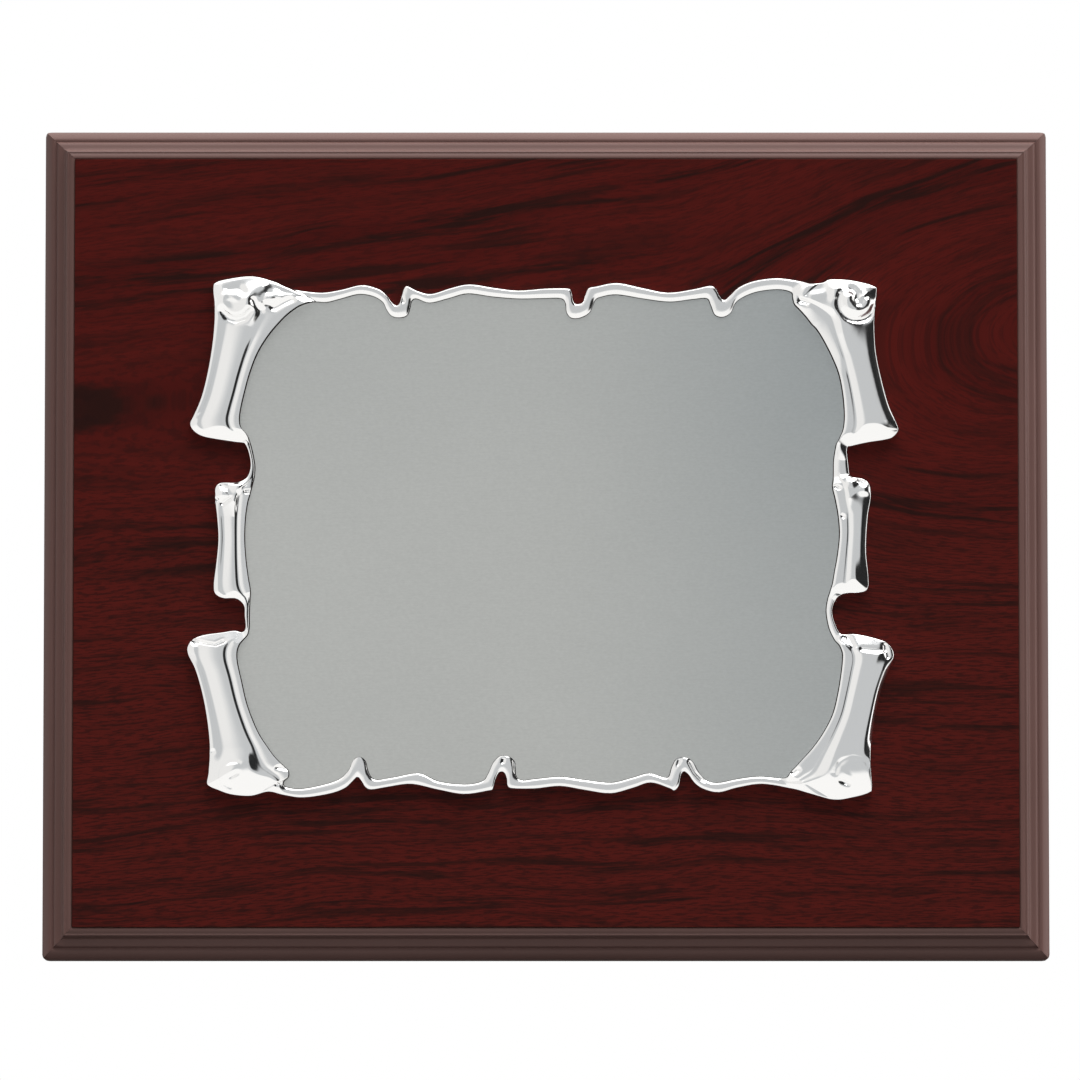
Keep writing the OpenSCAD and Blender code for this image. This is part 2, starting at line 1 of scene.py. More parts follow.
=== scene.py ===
# %% [markdown]
# # A wooden award plaque with a silver scroll plate
#
# A plaque of this kind is a veneered board with four mitred lengths of moulding round it. On its
# face sits a plate of polished metal, modelled as a torn parchment with rolled corners, and inside
# that frame lies a blank satin sheet for the engraving. Behind, it has a keyhole plate to hang it
# by, a folding strut to stand it on, and four rubber bumpers.
#
# The engineering model holds every piece at its true size and place. This script loads it as a
# fixed frame, gives each piece its surface, and swaps the pieces whose engineering shape is plain
# for finer meshes in the same place. Lengths are in metres in Blender, but the plate's own drawing
# is in millimetres, as an engraver would note it.

import math

import bmesh
import bpy
import numpy as np
from mathutils import Matrix, Vector


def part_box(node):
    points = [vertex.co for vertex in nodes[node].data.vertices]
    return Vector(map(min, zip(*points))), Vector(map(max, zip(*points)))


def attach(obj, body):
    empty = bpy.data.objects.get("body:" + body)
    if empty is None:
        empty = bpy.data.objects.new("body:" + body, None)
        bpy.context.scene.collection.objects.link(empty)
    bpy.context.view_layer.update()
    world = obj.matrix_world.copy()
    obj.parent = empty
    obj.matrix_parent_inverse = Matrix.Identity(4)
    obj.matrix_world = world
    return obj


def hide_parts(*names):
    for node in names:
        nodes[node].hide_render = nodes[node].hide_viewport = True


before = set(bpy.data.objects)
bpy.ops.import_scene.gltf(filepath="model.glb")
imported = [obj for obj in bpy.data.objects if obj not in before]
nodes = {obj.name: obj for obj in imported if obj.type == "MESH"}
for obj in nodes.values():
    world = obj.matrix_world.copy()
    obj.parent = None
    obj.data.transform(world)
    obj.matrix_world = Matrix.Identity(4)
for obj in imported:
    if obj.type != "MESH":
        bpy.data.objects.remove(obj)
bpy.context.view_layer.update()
MM = 0.001

# %% [markdown]
# ## The board's main sizes
#
# Every place below is worked out from the boxes of the engineering pieces, so that this script
# follows the model when a size changes. The face is the front plane of the veneer, the back is
# the plane y = 0, and the board's centre is the middle of the veneer.

# %% The board's main sizes
veneer_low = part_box("front_veneer")[0]
board_low, board_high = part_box("bottom_moulding")[0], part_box("top_moulding")[1]
board_low.x, board_high.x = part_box("left_moulding")[0].x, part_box("right_moulding")[1].x
BOARD_W = board_high.x - board_low.x
BOARD_H = board_high.z - board_low.z
MOULDING_W = veneer_low.x - board_low.x
FACE_Y = veneer_low.y
CENTRE = Vector((0.0, 0.0, (board_low.z + board_high.z) / 2))
print("board, mm:", round(BOARD_W / MM, 1), round(BOARD_H / MM, 1), "moulding", MOULDING_W / MM)

# %% [markdown]
# ## Shader maths as Python
#
# A procedural material is a graph of small nodes. Wiring sums node by node hides the idea, so the
# class Num wraps a socket and lets Python's own operators add the Math nodes. The class Finish is
# one material: node() adds any other node, and mix() blends two colours, since colours have to go
# through colour nodes. Numbers that are known beforehand are worked out in Python.

# %% The Num class
class Num:
    """A shader value; each operator on it adds one Math node."""

    def __init__(self, tree, socket):
        self.tree, self.socket = tree, socket

    def math(self, operation, *values):
        node = self.tree.nodes.new("ShaderNodeMath")
        node.operation = operation
        for slot, value in zip(node.inputs, values):
            if isinstance(value, Num):
                self.tree.links.new(value.socket, slot)
            else:
                slot.default_value = value
        return Num(self.tree, node.outputs[0])

    def __add__(self, other):
        return self.math("ADD", self, other)

    def __sub__(self, other):
        return self.math("SUBTRACT", self, other)

    def __rsub__(self, other):
        return self.math("SUBTRACT", other, self)

    def __mul__(self, other):
        return self.math("MULTIPLY", self, other)

    def __truediv__(self, other):
        return self.math("DIVIDE", self, other)

    def __pow__(self, other):
        return self.math("POWER", self, other)

    __radd__, __rmul__ = __add__, __mul__

    def step(self, low, high):
        """0 below low and 1 above high, with a smooth rise between them."""
        node = self.tree.nodes.new("ShaderNodeMapRange")
        node.interpolation_type = "SMOOTHSTEP"
        self.tree.links.new(self.socket, node.inputs["Value"])
        node.inputs["From Min"].default_value = low
        node.inputs["From Max"].default_value = high
        return Num(self.tree, node.outputs["Result"])


# %% The Finish class
class Finish:
    """One material, or the world, and the nodes that are added to it."""

    def __init__(self, name, **sockets):
        self.material = bpy.data.materials.new(name)
        self.material.use_nodes = True
        self.tree = self.material.node_tree
        self.shader = self.tree.nodes["Principled BSDF"]
        for socket, value in sockets.items():
            self.shader.inputs[socket.replace("_", " ")].default_value = value

    def node(self, kind, inputs=(), out=0, **settings):
        """Adds a node, sets it, fills its inputs with values or links, and returns an output."""
        node = self.tree.nodes.new("ShaderNode" + kind)
        for name, value in settings.items():
            setattr(node, name, value)
        for slot, value in dict(inputs).items():
            if isinstance(value, Num):
                self.tree.links.new(value.socket, node.inputs[slot])
            else:
                node.inputs[slot].default_value = value
        return Num(self.tree, node.outputs[out])

    def place(self):
        """The piece's own coordinates in millimetres, as x, y and z."""
        seat = self.node("TexCoord", out="Object")
        return [
            self.node("SeparateXYZ", {"Vector": seat}, out=axis) / MM
            for axis in ("X", "Y", "Z")
        ]

    def noise(self, x, y, z, detail=3.0, rough=0.55, warp=0.0):
        """Noise from 0 to 1, whose grain is one unit of the given coordinates."""
        spot = self.node("CombineXYZ", {"X": x, "Y": y, "Z": z})
        inputs = {"Vector": spot, "Scale": 1.0, "Detail": detail}
        inputs.update({"Roughness": rough, "Distortion": warp})
        return self.node("TexNoise", inputs, out="Fac")

    def mix(self, factor, first, second, blend="MIX"):
        """A blend of two colours, each a value or a link."""
        inputs = {0: factor, 6: first, 7: second}
        return self.node("Mix", inputs, out=2, data_type="RGBA", blend_type=blend)

    def bump(self, height, distance, strength=1.0):
        """Tilts the surface by a height from 0 to 1, which stands for distance in metres."""
        inputs = {"Height": height, "Distance": distance, "Strength": strength}
        self.link("Normal", self.node("Bump", inputs, out="Normal"))

    def link(self, socket, value):
        self.tree.links.new(value.socket, self.shader.inputs[socket])


def colour(red, green, blue):
    """A colour given in the eight-bit steps of a paint chart, as linear light."""
    def linear(step):
        share = step / 255
        return share / 12.92 if share < 0.04045 else ((share + 0.055) / 1.055) ** 2.4

    return (linear(red), linear(green), linear(blue), 1.0)


# %% [markdown]
# ## The mahogany veneer
#
# Crown-cut veneer shows the growth rings as near-horizontal lines that open into nested arches
# where the cut runs through the ring's side. The rings are taken as circles round an axis that
# comes close to the face near its right edge, which gives both from one formula. Long dark
# streaks and short pores are noise stretched along the same rings. A satin lacquer lies on top.

# %% Mahogany veneer
def make_mahogany():
    finish = Finish("mahogany_veneer", Roughness=0.32, Specular_IOR_Level=0.04)
    x, y, z = finish.place()
    along = x
    up = z - CENTRE.z / MM
    wander = finish.noise(along / 95, up / 38, 3.0, detail=2.0) - 0.5
    depth = 46.0 - 34.0 * along.step(30, 150)
    lean = 0.055 * along + 0.075 * along * up.step(35, 85)
    rise = up - 47.0 - lean + 11.0 * wander
    ring = (rise * rise + depth * depth) ** 0.5
    bands = finish.noise(along / 210, ring / 5.0, 7.0, detail=3.0, rough=0.6)
    streaks = finish.noise(along / 40, ring / 2.3, 11.0, detail=4.0, rough=0.62, warp=0.2)
    pores = finish.noise(along / 4.5, ring / 0.48, 17.0, detail=2.0, rough=0.6)
    lower = 1.0 - up.step(-30, 50)
    dark_streak = (1.0 - streaks).step(0.45, 0.6) * (0.3 + 0.7 * (1.0 - bands).step(0.42, 0.58))
    dark_pore = (1.0 - pores).step(0.46, 0.62)
    body = finish.mix(bands.step(0.3, 0.7), colour(66, 18, 15), colour(79, 22, 18))
    body = finish.mix(lower * 0.5, body, colour(82, 27, 22))
    body = finish.mix(dark_streak * (0.88 - 0.1 * lower), body, colour(34, 18, 15))
    body = finish.mix(dark_pore * (0.34 + 0.26 * lower), body, colour(32, 16, 15))
    finish.link("Base Color", body)
    finish.link("Roughness", 0.32 + 0.1 * pores)
    finish.bump(pores, 0.02 * MM, 0.35)
    return finish.material


# %% [markdown]
# ## Lacquered moulding, core, back sheet and strut board
#
# The moulding is sprayed with a taupe brown lacquer that nearly hides the wood, so its colour
# only drifts a little and its surface has a faint orange peel. The core is fibreboard, the back
# sheet a dark printed paper, and the strut is faced with a black leather-grain paper.

# %% Woods and boards
def make_moulding_lacquer():
    finish = Finish("moulding_lacquer", Roughness=0.36, Specular_IOR_Level=0.22)
    x, y, z = finish.place()
    drift = finish.noise(x / 60, y / 12, z / 60, detail=3.0)
    peel = finish.noise(x / 0.9, y / 0.9, z / 0.9, detail=2.0)
    finish.link("Base Color", finish.mix(drift, colour(91, 66, 61), colour(105, 77, 72)))
    finish.link("Roughness", 0.34 + 0.1 * drift)
    finish.bump(peel, 0.02 * MM, 0.25)
    return finish.material


def make_fibreboard():
    finish = Finish("fibreboard", Roughness=0.85)
    x, y, z = finish.place()
    fibre = finish.noise(x / 1.1, y / 0.35, z / 1.1, detail=5.0, rough=0.7)
    tone = finish.mix(fibre, colour(140, 108, 74), colour(186, 152, 112))
    finish.link("Base Color", tone)
    finish.bump(fibre, 0.15 * MM, 0.6)
    return finish.material


def make_back_paper():
    finish = Finish("back_paper", Roughness=0.62)
    x, y, z = finish.place()
    grain = finish.noise(x / 45, y, z / 1.6, detail=4.0, rough=0.65, warp=0.2)
    weave = finish.noise(x / 0.5, y, z / 0.5, detail=2.0)
    finish.link("Base Color", finish.mix(grain, colour(38, 27, 22), colour(66, 47, 37)))
    finish.link("Roughness", 0.55 + 0.15 * weave)
    finish.bump(weave, 0.05 * MM, 0.4)
    return finish.material


def make_leather_paper():
    finish = Finish("leather_paper", Roughness=0.5)
    x, y, z = finish.place()
    spot = finish.node("CombineXYZ", {"X": x, "Y": y, "Z": z})
    cells = finish.node(
        "TexVoronoi", {"Vector": spot, "Scale": 0.95}, out="Distance", feature="SMOOTH_F1"
    )
    wear = finish.noise(x / 14, y / 14, z / 14, detail=4.0)
    finish.link("Base Color", finish.mix(wear, colour(24, 23, 23), colour(40, 38, 37)))
    finish.link("Roughness", 0.42 + 0.2 * cells)
    finish.bump(cells, 0.2 * MM, 0.8)
    return finish.material


# %% [markdown]
# ## Metals, rubber and foam
#
# Polished silver is almost a mirror: what the eye reads as its colour is the studio round it, so
# its own settings are few, with a very faint ripple from the hand finish. The engraving sheet is
# the same metal with a fine horizontal brushing, which spreads the light into a calm grey. Its base
# colour also holds a painted reflection: it is darker and cooler towards the right and the top.

# %% Metals, rubber and foam
def make_polished_silver():
    finish = Finish("polished_silver", Metallic=1.0, Roughness=0.07)
    finish.shader.inputs["Base Color"].default_value = (0.95, 0.95, 0.945, 1)
    x, y, z = finish.place()
    ripple = finish.noise(x / 3.5, y / 3.5, z / 3.5, detail=2.0)
    haze = finish.noise(x / 9, y / 9, z / 9, detail=3.0)
    finish.link("Roughness", 0.09 + 0.05 * haze)
    finish.bump(ripple, 0.04 * MM, 0.4)
    return finish.material


def make_satin_silver():
    finish = Finish("satin_silver", Metallic=1.0, Roughness=0.4)
    x, y, z = finish.place()
    up = z - CENTRE.z / MM
    brush = finish.noise(x / 7, y, z / 0.16, detail=3.0, rough=0.7)
    grit = finish.noise(x / 1.3, y, z / 0.6, detail=3.0, rough=0.75)
    mottle = finish.noise(x / 60, y, z / 40, detail=2.0)
    # painted reflection: the base colour turns darker and cooler towards the right and the top,
    # standing in for the studio mirrored in the sheet
    painted_reflection = 0.85 * x.step(-10, 95) * (0.75 + 0.25 * up.step(-60, 40)) + 0.2 * up.step(-10, 75)
    tone = finish.mix(painted_reflection, (0.595, 0.603, 0.582, 1), (0.432, 0.46, 0.464, 1))
    grain = (brush * 0.35 + grit * 0.65).step(0.25, 0.75)
    shade_of = finish.mix(grain, (0.94, 0.94, 0.94, 1), (1.06, 1.06, 1.06, 1))
    finish.link("Base Color", finish.mix(1.0, tone, shade_of, "MULTIPLY"))
    finish.link("Roughness", 0.36 + 0.06 * mottle)
    finish.bump(grain, 0.012 * MM, 0.4)
    return finish.material


def make_plated_steel(name, low, high, rough):
    """A plated sheet: brass or zinc, with faint rolling lines and a cloudy bloom."""
    finish = Finish(name, Metallic=1.0, Roughness=rough)
    x, y, z = finish.place()
    cloud = finish.noise(x / 4, y / 4, z / 4, detail=4.0)
    lines = finish.noise(x / 6, y / 0.3, z / 0.2, detail=2.0)
    finish.link("Base Color", finish.mix(cloud, low, high))
    finish.link("Roughness", rough + 0.14 * cloud + 0.06 * lines)
    finish.bump(lines, 0.01 * MM, 0.4)
    return finish.material


def make_rubber():
    finish = Finish("bumper_rubber", Roughness=0.7)
    x, y, z = finish.place()
    speck = finish.noise(x / 0.4, y / 0.4, z / 0.4, detail=3.0)
    finish.link("Base Color", finish.mix(speck, colour(34, 33, 33), colour(50, 49, 48)))
    finish.bump(speck, 0.05 * MM, 0.5)
    return finish.material


def make_foam():
    finish = Finish("foam_tape", Roughness=0.9)
    x, y, z = finish.place()
    pores = finish.noise(x / 0.5, y / 0.5, z / 0.5, detail=4.0, rough=0.75)
    finish.link("Base Color", finish.mix(pores, colour(206, 204, 192), colour(236, 234, 224)))
    finish.bump(pores, 0.1 * MM, 0.7)
    return finish.material


# %% Build the finishes once
MAHOGANY = make_mahogany()
LACQUER = make_moulding_lacquer()
FIBREBOARD = make_fibreboard()
BACK_PAPER = make_back_paper()
LEATHER_PAPER = make_leather_paper()
SILVER = make_polished_silver()
SATIN = make_satin_silver()
BRASS = make_plated_steel("brass_plate", colour(196, 158, 92), colour(226, 192, 128), 0.22)
ZINC = make_plated_steel("zinc_plate", colour(176, 178, 176), colour(208, 210, 206), 0.26)
RUBBER = make_rubber()
FOAM = make_foam()
print("finishes:", len(bpy.data.materials))

# %% [markdown]
# ## Small helpers for meshes
#
# keep() puts a finished mesh into the scene, on its body, in place of the engineering pieces
# that it stands for. evaluate() turns a modifier's result into a plain mesh, so that each piece
# holds its own final shape.

# %% Helpers for meshes
def link_object(name, data):
    thing = bpy.data.objects.new(name, data)
    bpy.context.scene.collection.objects.link(thing)
    return thing


def shade(mesh, angle):
    """Smooth shading, but with every edge sharper than the angle kept crisp."""
    mesh.polygons.foreach_set("use_smooth", [True] * len(mesh.polygons))
    mesh.set_sharp_from_angle(angle=math.radians(angle))


def keep(name, mesh, body, stands_for, material, angle=35):
    piece = link_object(name, mesh)
    mesh.materials.clear()
    mesh.materials.append(material)
    shade(mesh, angle)
    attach(piece, body)
    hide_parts(*stands_for)
    faces = sum(len(p.vertices) - 2 for p in mesh.polygons)
    print(f"{name}: {faces} triangles on {body}")
    return piece


def evaluate(thing):
    """The object's mesh with its modifiers applied; the object itself is removed."""
    graph = bpy.context.evaluated_depsgraph_get()
    mesh = bpy.data.meshes.new_from_object(thing.evaluated_get(graph))
    bpy.data.objects.remove(thing)
    return mesh


def node_tree(name, **inputs):
    """A Geometry Nodes tree with named inputs; returns it and its two end nodes."""
    tree = bpy.data.node_groups.new(name, "GeometryNodeTree")
    tree.interface.new_socket("Geometry", in_out="OUTPUT", socket_type="NodeSocketGeometry")
    tree.interface.new_socket("Geometry", in_out="INPUT", socket_type="NodeSocketGeometry")
    for label, kind in inputs.items():
        tree.interface.new_socket(label, in_out="INPUT", socket_type="NodeSocket" + kind)
    return tree, tree.nodes.new("NodeGroupInput"), tree.nodes.new("NodeGroupOutput")


def run_tree(tree, host, **values):
    """Runs a tree as a modifier on the host object and returns the plain mesh it makes."""
    modifier = host.modifiers.new(tree.name, "NODES")
    modifier.node_group = tree
    for item in tree.interface.items_tree:
        if item.in_out == "INPUT" and item.name in values:
            modifier[item.identifier] = values[item.name]
    return evaluate(host)


# %% [markdown]
# ## The mitred moulding
#
# A moulding is one section drawn along a straight length, so it suits a Geometry Nodes tree: a
# line is resampled, the section is swept along it, and one Set Position node cuts the mitres by
# moving each point inwards by its distance from the edge. The same node rounds the sanded outer
# corner. The stations crowd towards the ends, where that rounding needs them.
#
# The section climbs inwards in three steps: an outer bead, a sloping shelf, and a cap whose low
# dome falls to the face. A small groove parts each from the next. A tongue sits in the core.

# %% The moulding's section
WIDTH = MOULDING_W / MM
CREST_V = -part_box("top_moulding")[0].y / MM
TONGUE_V, TONGUE_T, TONGUE_L = 8.0, 5.0, 4.0
# [inwards from the edge as a share of the width, below the crest in millimetres]
STEPS_UP = [
    [0, 9.4], [0.008, 8.9], [0.05, 8.15], [0.11, 7.4], [0.165, 6.8], [0.215, 6.34], [0.255, 6.06],
    [0.295, 5.98], [0.33, 6.02], [0.352, 6.1], [0.364, 6.06], [0.38, 5.72], [0.405, 5.22],
    [0.435, 4.86], [0.48, 4.64], [0.54, 4.46], [0.6, 4.26], [0.645, 3.9], [0.675, 3.2],
    [0.69, 2.3], [0.7, 1.5], [0.715, 0.9], [0.738, 0.58], [0.762, 0.46], [0.782, 0.5],
    [0.798, 0.56], [0.812, 0.5], [0.845, 0.27], [0.885, 0.1], [0.92, 0.01], [0.945, 0],
    [0.97, 0.08], [0.988, 0.22], [1, 0.45],
]

SECTION = [(0, 0)] + [(share * WIDTH, CREST_V - down) for share, down in STEPS_UP]
for reach, side in ((0, 1), (TONGUE_L, 1), (TONGUE_L, -1), (0, -1)):
    SECTION.append((WIDTH + reach, TONGUE_V + side * TONGUE_T / 2))
SECTION.append((WIDTH, 0))
print("section points:", len(SECTION), "crest, mm:", round(CREST_V, 2))


# %% The moulding tree
def moulding_tree():
    tree, ends, last = node_tree(
        "mitred_length", Section="Object", Length="Float", Corner="Float", Stations="Int",
        Seam="Float", Material="Material",
    )

    def add(kind, *links, **settings):
        node = tree.nodes.new(kind)
        for name, value in settings.items():
            setattr(node, name, value)
        for slot, value in links:
            if isinstance(value, bpy.types.NodeSocket):
                tree.links.new(value, node.inputs[slot])
            else:
                node.inputs[slot].default_value = value
        return node

    def num(socket):
        return Num(tree, socket)

    line = add("GeometryNodeCurvePrimitiveLine", ("Start", (-1, 0, 0)), ("End", (1, 0, 0)))
    spots = add(
        "GeometryNodeResampleCurve", ("Curve", line.outputs[0]), ("Count", ends.outputs["Stations"])
    )
    section = add("GeometryNodeObjectInfo", ("Object", ends.outputs["Section"]))
    swept = add(
        "GeometryNodeCurveToMesh", ("Curve", spots.outputs[0]),
        ("Profile Curve", section.outputs["Geometry"]), ("Fill Caps", True),
    )
    here = add("ShaderNodeSeparateXYZ", ("Vector", add("GeometryNodeInputPosition").outputs[0]))
    t, forward, inward = [num(here.outputs[axis]) for axis in ("X", "Y", "Z")]
    side = t.math("SIGN", t)
    half = num(ends.outputs["Length"]) * 0.5
    # the share along the length, crowded towards the ends
    share = t.math("SINE", t * (math.pi / 2)) * side
    straight = share * half
    mitred = straight.math("MINIMUM", straight, half - inward - num(ends.outputs["Seam"]))
    # the sanded corner: points outside its circle slide onto it
    corner = num(ends.outputs["Corner"])
    past = mitred - (half - corner)
    short = corner - inward
    ahead, inner = past.math("MAXIMUM", past, 0.0), short.math("MAXIMUM", short, 0.0)
    over = (ahead ** 2.0 + inner ** 2.0) ** 0.5
    inside = past.math("LESS_THAN", past, 0.0)
    squeeze = corner / over.math("MAXIMUM", over, corner)
    squeeze = inside + squeeze * (1.0 - inside)
    along = (half - corner) * (1.0 - inside) + mitred * inside + past * squeeze * (1.0 - inside)
    shallow = short.math("GREATER_THAN", short, 0.0)
    depth = inward * (1.0 - shallow) + (corner - short * squeeze) * shallow
    moved = add(
        "ShaderNodeCombineXYZ", ("X", (along * side).socket), ("Y", forward.socket),
        ("Z", depth.socket),
    )
    cut = add(
        "GeometryNodeSetPosition", ("Geometry", swept.outputs[0]), ("Position", moved.outputs[0])
    )
    whole = add("GeometryNodeRealizeInstances", ("Geometry", cut.outputs[0]))
    dressed = add(
        "GeometryNodeSetMaterial", ("Geometry", whole.outputs[0]),
        ("Material", ends.outputs["Material"]),
    )
    tree.links.new(dressed.outputs[0], last.inputs[0])
    return tree


# %% Four mouldings from one tree
def section_curve():
    """The section as a closed curve, laid so that the sweep sends it forwards and inwards."""
    curve = bpy.data.curves.new("section", "CURVE")
    curve.dimensions = "3D"
    spline = curve.splines.new("POLY")
    spline.points.add(len(SECTION) - 1)
    for point, (u, v) in zip(spline.points, SECTION):
        point.co = (v * MM, -u * MM, 0, 1)
    spline.use_cyclic_u = True
    return link_object("section", curve)


CORNER_R, MITRE_SEAM = 1.5 * MM, 0.04 * MM
STATIONS = 61
MITRED_LENGTH = moulding_tree()
SECTION_CURVE = section_curve()
SIDES = {
    "bottom_moulding": (BOARD_W, BOARD_H, 0),
    "left_moulding": (BOARD_H, BOARD_W, 90),
    "top_moulding": (BOARD_W, BOARD_H, 180),
    "right_moulding": (BOARD_H, BOARD_W, 270),
}
for name, (length, across, turn) in SIDES.items():
    host = link_object("host", bpy.data.meshes.new("host"))
    mesh = run_tree(
        MITRED_LENGTH, host, Section=SECTION_CURVE, Length=length, Corner=CORNER_R,
        Stations=STATIONS, Seam=MITRE_SEAM, Material=LACQUER,
    )
    mesh.transform(
        Matrix.Translation(CENTRE) @ Matrix.Rotation(math.radians(turn), 4, "Y")
        @ Matrix.Translation((0, 0, -across / 2))
    )
    keep(name + "_ogee", mesh, "board", [name], LACQUER, 40)
bpy.data.objects.remove(SECTION_CURVE)

# %% [markdown]
# ## The scroll frame's drawing
#
# The frame is drawn as ribs. Each rib runs from the frame's outer edge to the edge of the satin
# field, as [edge x, edge z, field x, field z] in millimetres about the board's centre, and they go
# clockwise from the top left. They are the same ribs as the engineering model has, so the outline
# and the window stay the same, and only the surface between them becomes finer.

# %% Ribs of the scroll frame
TOP_RIM = [
    [-73, 73.3, -66, 69.3], [-65, 72.3, -63, 69.2], [-59, 73.1, -59, 70.2],
    [-53, 74.5, -54, 71.5], [-48, 73.3, -50, 71], [-45.5, 71.3, -47, 69.3],
    [-44.2, 69.5, -45.8, 67], [-43, 68.6, -44.5, 65.3], [-42.2, 69.5, -42.5, 64.7],
    [-41.6, 72, -40.2, 65.2], [-41, 73.6, -39.3, 67], [-39.8, 74.2, -38.7, 69.5],
    [-37, 72.8, -37.2, 70.2], [-33, 71.9, -33.5, 69], [-27.5, 73.6, -28, 70.3],
    [-22, 74.7, -22.5, 71.7], [-15, 73.7, -15.5, 70.8], [-8, 72.9, -8, 70.2],
    [0, 73.5, -1, 70.3], [6.2, 73.5, 4.3, 70.3], [7.6, 72.6, 5.7, 68.8],
    [8.1, 70, 6, 66.2], [8.8, 69, 7.4, 64.6], [10.4, 69.5, 10, 64.7],
    [11, 71.5, 12.6, 66.3], [12, 73.5, 14, 69.6], [14.5, 74.1, 15.8, 70.7],
    [20.5, 75.1, 20.5, 71.4], [28, 73.6, 28, 70.2], [35, 72.3, 35.5, 69.3],
    [42, 73.2, 42, 70], [47.3, 74.3, 46.3, 70.3], [49.2, 73.2, 47.5, 68.3],
    [50.3, 71.2, 48.7, 65.5], [51.3, 70.2, 51, 64.9], [52.8, 71.5, 53.2, 66.2],
    [55.5, 73.9, 55, 69.5], [60, 75.7, 60, 72], [66.5, 76.5, 66.5, 72.9],
    [73, 75.7, 70.6, 72.1],
]
TOP_RIGHT_ROLL = [
    [76.5, 74.9, 71.1, 70.3], [79.5, 75.1, 71.6, 68.5], [82, 76.1, 73, 67],
    [88.5, 75.7, 74.8, 65], [94.8, 73.9, 76.5, 62.8], [95.5, 71.5, 78, 61.2],
    [94.8, 64, 80, 58], [95.3, 55, 82.5, 53], [97, 46.5, 84.4, 48],
    [98.9, 39.5, 85.5, 42], [101, 34.5, 85.9, 36.5], [101.6, 32, 85.7, 33.2],
    [100, 29.8, 85.3, 31.5], [97.5, 28.9, 84.8, 30.4], [92.5, 28.1, 84.4, 29.5],
    [88, 27.1, 84, 28.7], [86.9, 26.6, 83.5, 27.8],
]
RIGHT_UPPER_NOTCH = [[87.2, 23, 82.8, 23.5], [87.7, 19.3, 82.7, 19.3]]
MID_RIGHT_ROLL = [
    [89, 18.7, 82.6, 17.5], [91.8, 18, 82.4, 16], [93.5, 16, 82.6, 14.5],
    [93.7, 13, 83.2, 12], [93, 8, 84, 7.5], [92.5, 2, 84.4, 2],
    [92.4, -4, 83.8, -4], [92.9, -10, 82.9, -9], [92.8, -13.5, 82.4, -12],
    [91, -15.1, 82, -13.5], [86, -15.5, 81.5, -15],
]
RIGHT_LOWER_NOTCH = [
    [83.8, -16.8, 80.9, -17], [82.5, -20, 80.5, -20.5], [83.3, -23.7, 81.3, -25],
    [84.6, -26.2, 82.8, -28.3],
]
BOTTOM_RIGHT_ROLL = [
    [86, -26.6, 83.8, -29.5], [89, -26.5, 84.5, -30.5], [94.5, -27.7, 85, -31.8],
    [98.5, -29.3, 85.2, -33], [100.4, -32.7, 85.1, -35], [98.8, -37, 84.7, -38.5],
    [96.6, -43, 83.8, -44], [95, -50, 82.3, -50], [93.9, -57, 79.5, -55.5],
    [93.3, -64, 76.3, -60], [93.7, -71, 73.3, -63.3], [92.8, -72.8, 71.8, -65],
    [88, -74.2, 70.5, -66.3], [82.5, -74.9, 69.8, -67.3], [76, -73.4, 69, -68.2],
]
BOTTOM_RIM = [
    [70.5, -71.8, 67, -68.4], [62, -70.4, 61, -67.9], [55, -71.4, 55, -68.6],
    [49.5, -72.8, 49.5, -69.7], [45, -71.8, 46.2, -69.2], [42.3, -70, 44, -67],
    [40.8, -67.8, 42.3, -64], [39.6, -66.8, 40.5, -62.6], [38.9, -68, 37.7, -62.7],
    [38.4, -70.8, 36.2, -65], [36.8, -72.3, 35.3, -67.8], [35.2, -71.6, 33.8, -68.2],
    [30, -70, 29.5, -67], [25, -71.5, 24.5, -68.3], [18.5, -73.1, 18.5, -69.7],
    [11, -72.1, 11, -68.9], [4, -71, 4, -68], [-3, -71.7, -3, -68.6],
    [-9, -71.7, -7, -69], [-11.2, -71, -8.7, -67.5], [-11.6, -68.5, -8.9, -64],
    [-12.2, -67, -10.5, -62.3], [-13.3, -67.1, -12.9, -62], [-14.3, -69.3, -15, -63.8],
    [-14.9, -71.7, -16.5, -67], [-16.5, -72.3, -18.3, -69.3], [-23.5, -73.3, -23.5, -70.2],
    [-31, -72, -31, -69.3], [-38.5, -70.4, -36.5, -67], [-45, -71.2, -44, -68.2],
    [-50, -72, -49.1, -68.8], [-52, -71.2, -51, -66.5], [-53, -69.7, -51.8, -63.5],
    [-54, -68.4, -53.5, -62.3], [-55.1, -69.5, -55.3, -63.4], [-57.5, -71.6, -56.8, -66.5],
    [-62, -73.2, -60.5, -69.3], [-69.5, -74.3, -69.5, -71.4], [-75, -73.6, -74.6, -70.9],
]
BOTTOM_LEFT_ROLL = [
    [-79.5, -72.6, -75.3, -69.4], [-84.5, -73.8, -73.9, -68], [-90, -73.4, -73.9, -66.3],
    [-94, -72.1, -75, -65.1], [-97.3, -70.3, -76.7, -63.5], [-97, -66.5, -78.2, -61.8],
    [-96.7, -60, -80, -59.3], [-97.3, -53, -82.8, -54.8], [-98.7, -45, -85.7, -47.5],
    [-100.8, -37.5, -87.5, -40], [-103, -32.7, -88.6, -35], [-103, -30, -88.7, -32],
    [-101, -27.8, -88.1, -30], [-98, -26.7, -87.3, -28.9], [-93, -26, -86.4, -27.9],
    [-89.5, -25.5, -85.7, -27], [-87.2, -25.9, -85.4, -25.9],
]
LEFT_LOWER_NOTCH = [
    [-86.5, -24.6, -85.2, -24.6], [-86.8, -21.5, -85.2, -21.5], [-87, -18.8, -85.1, -18.5],
]
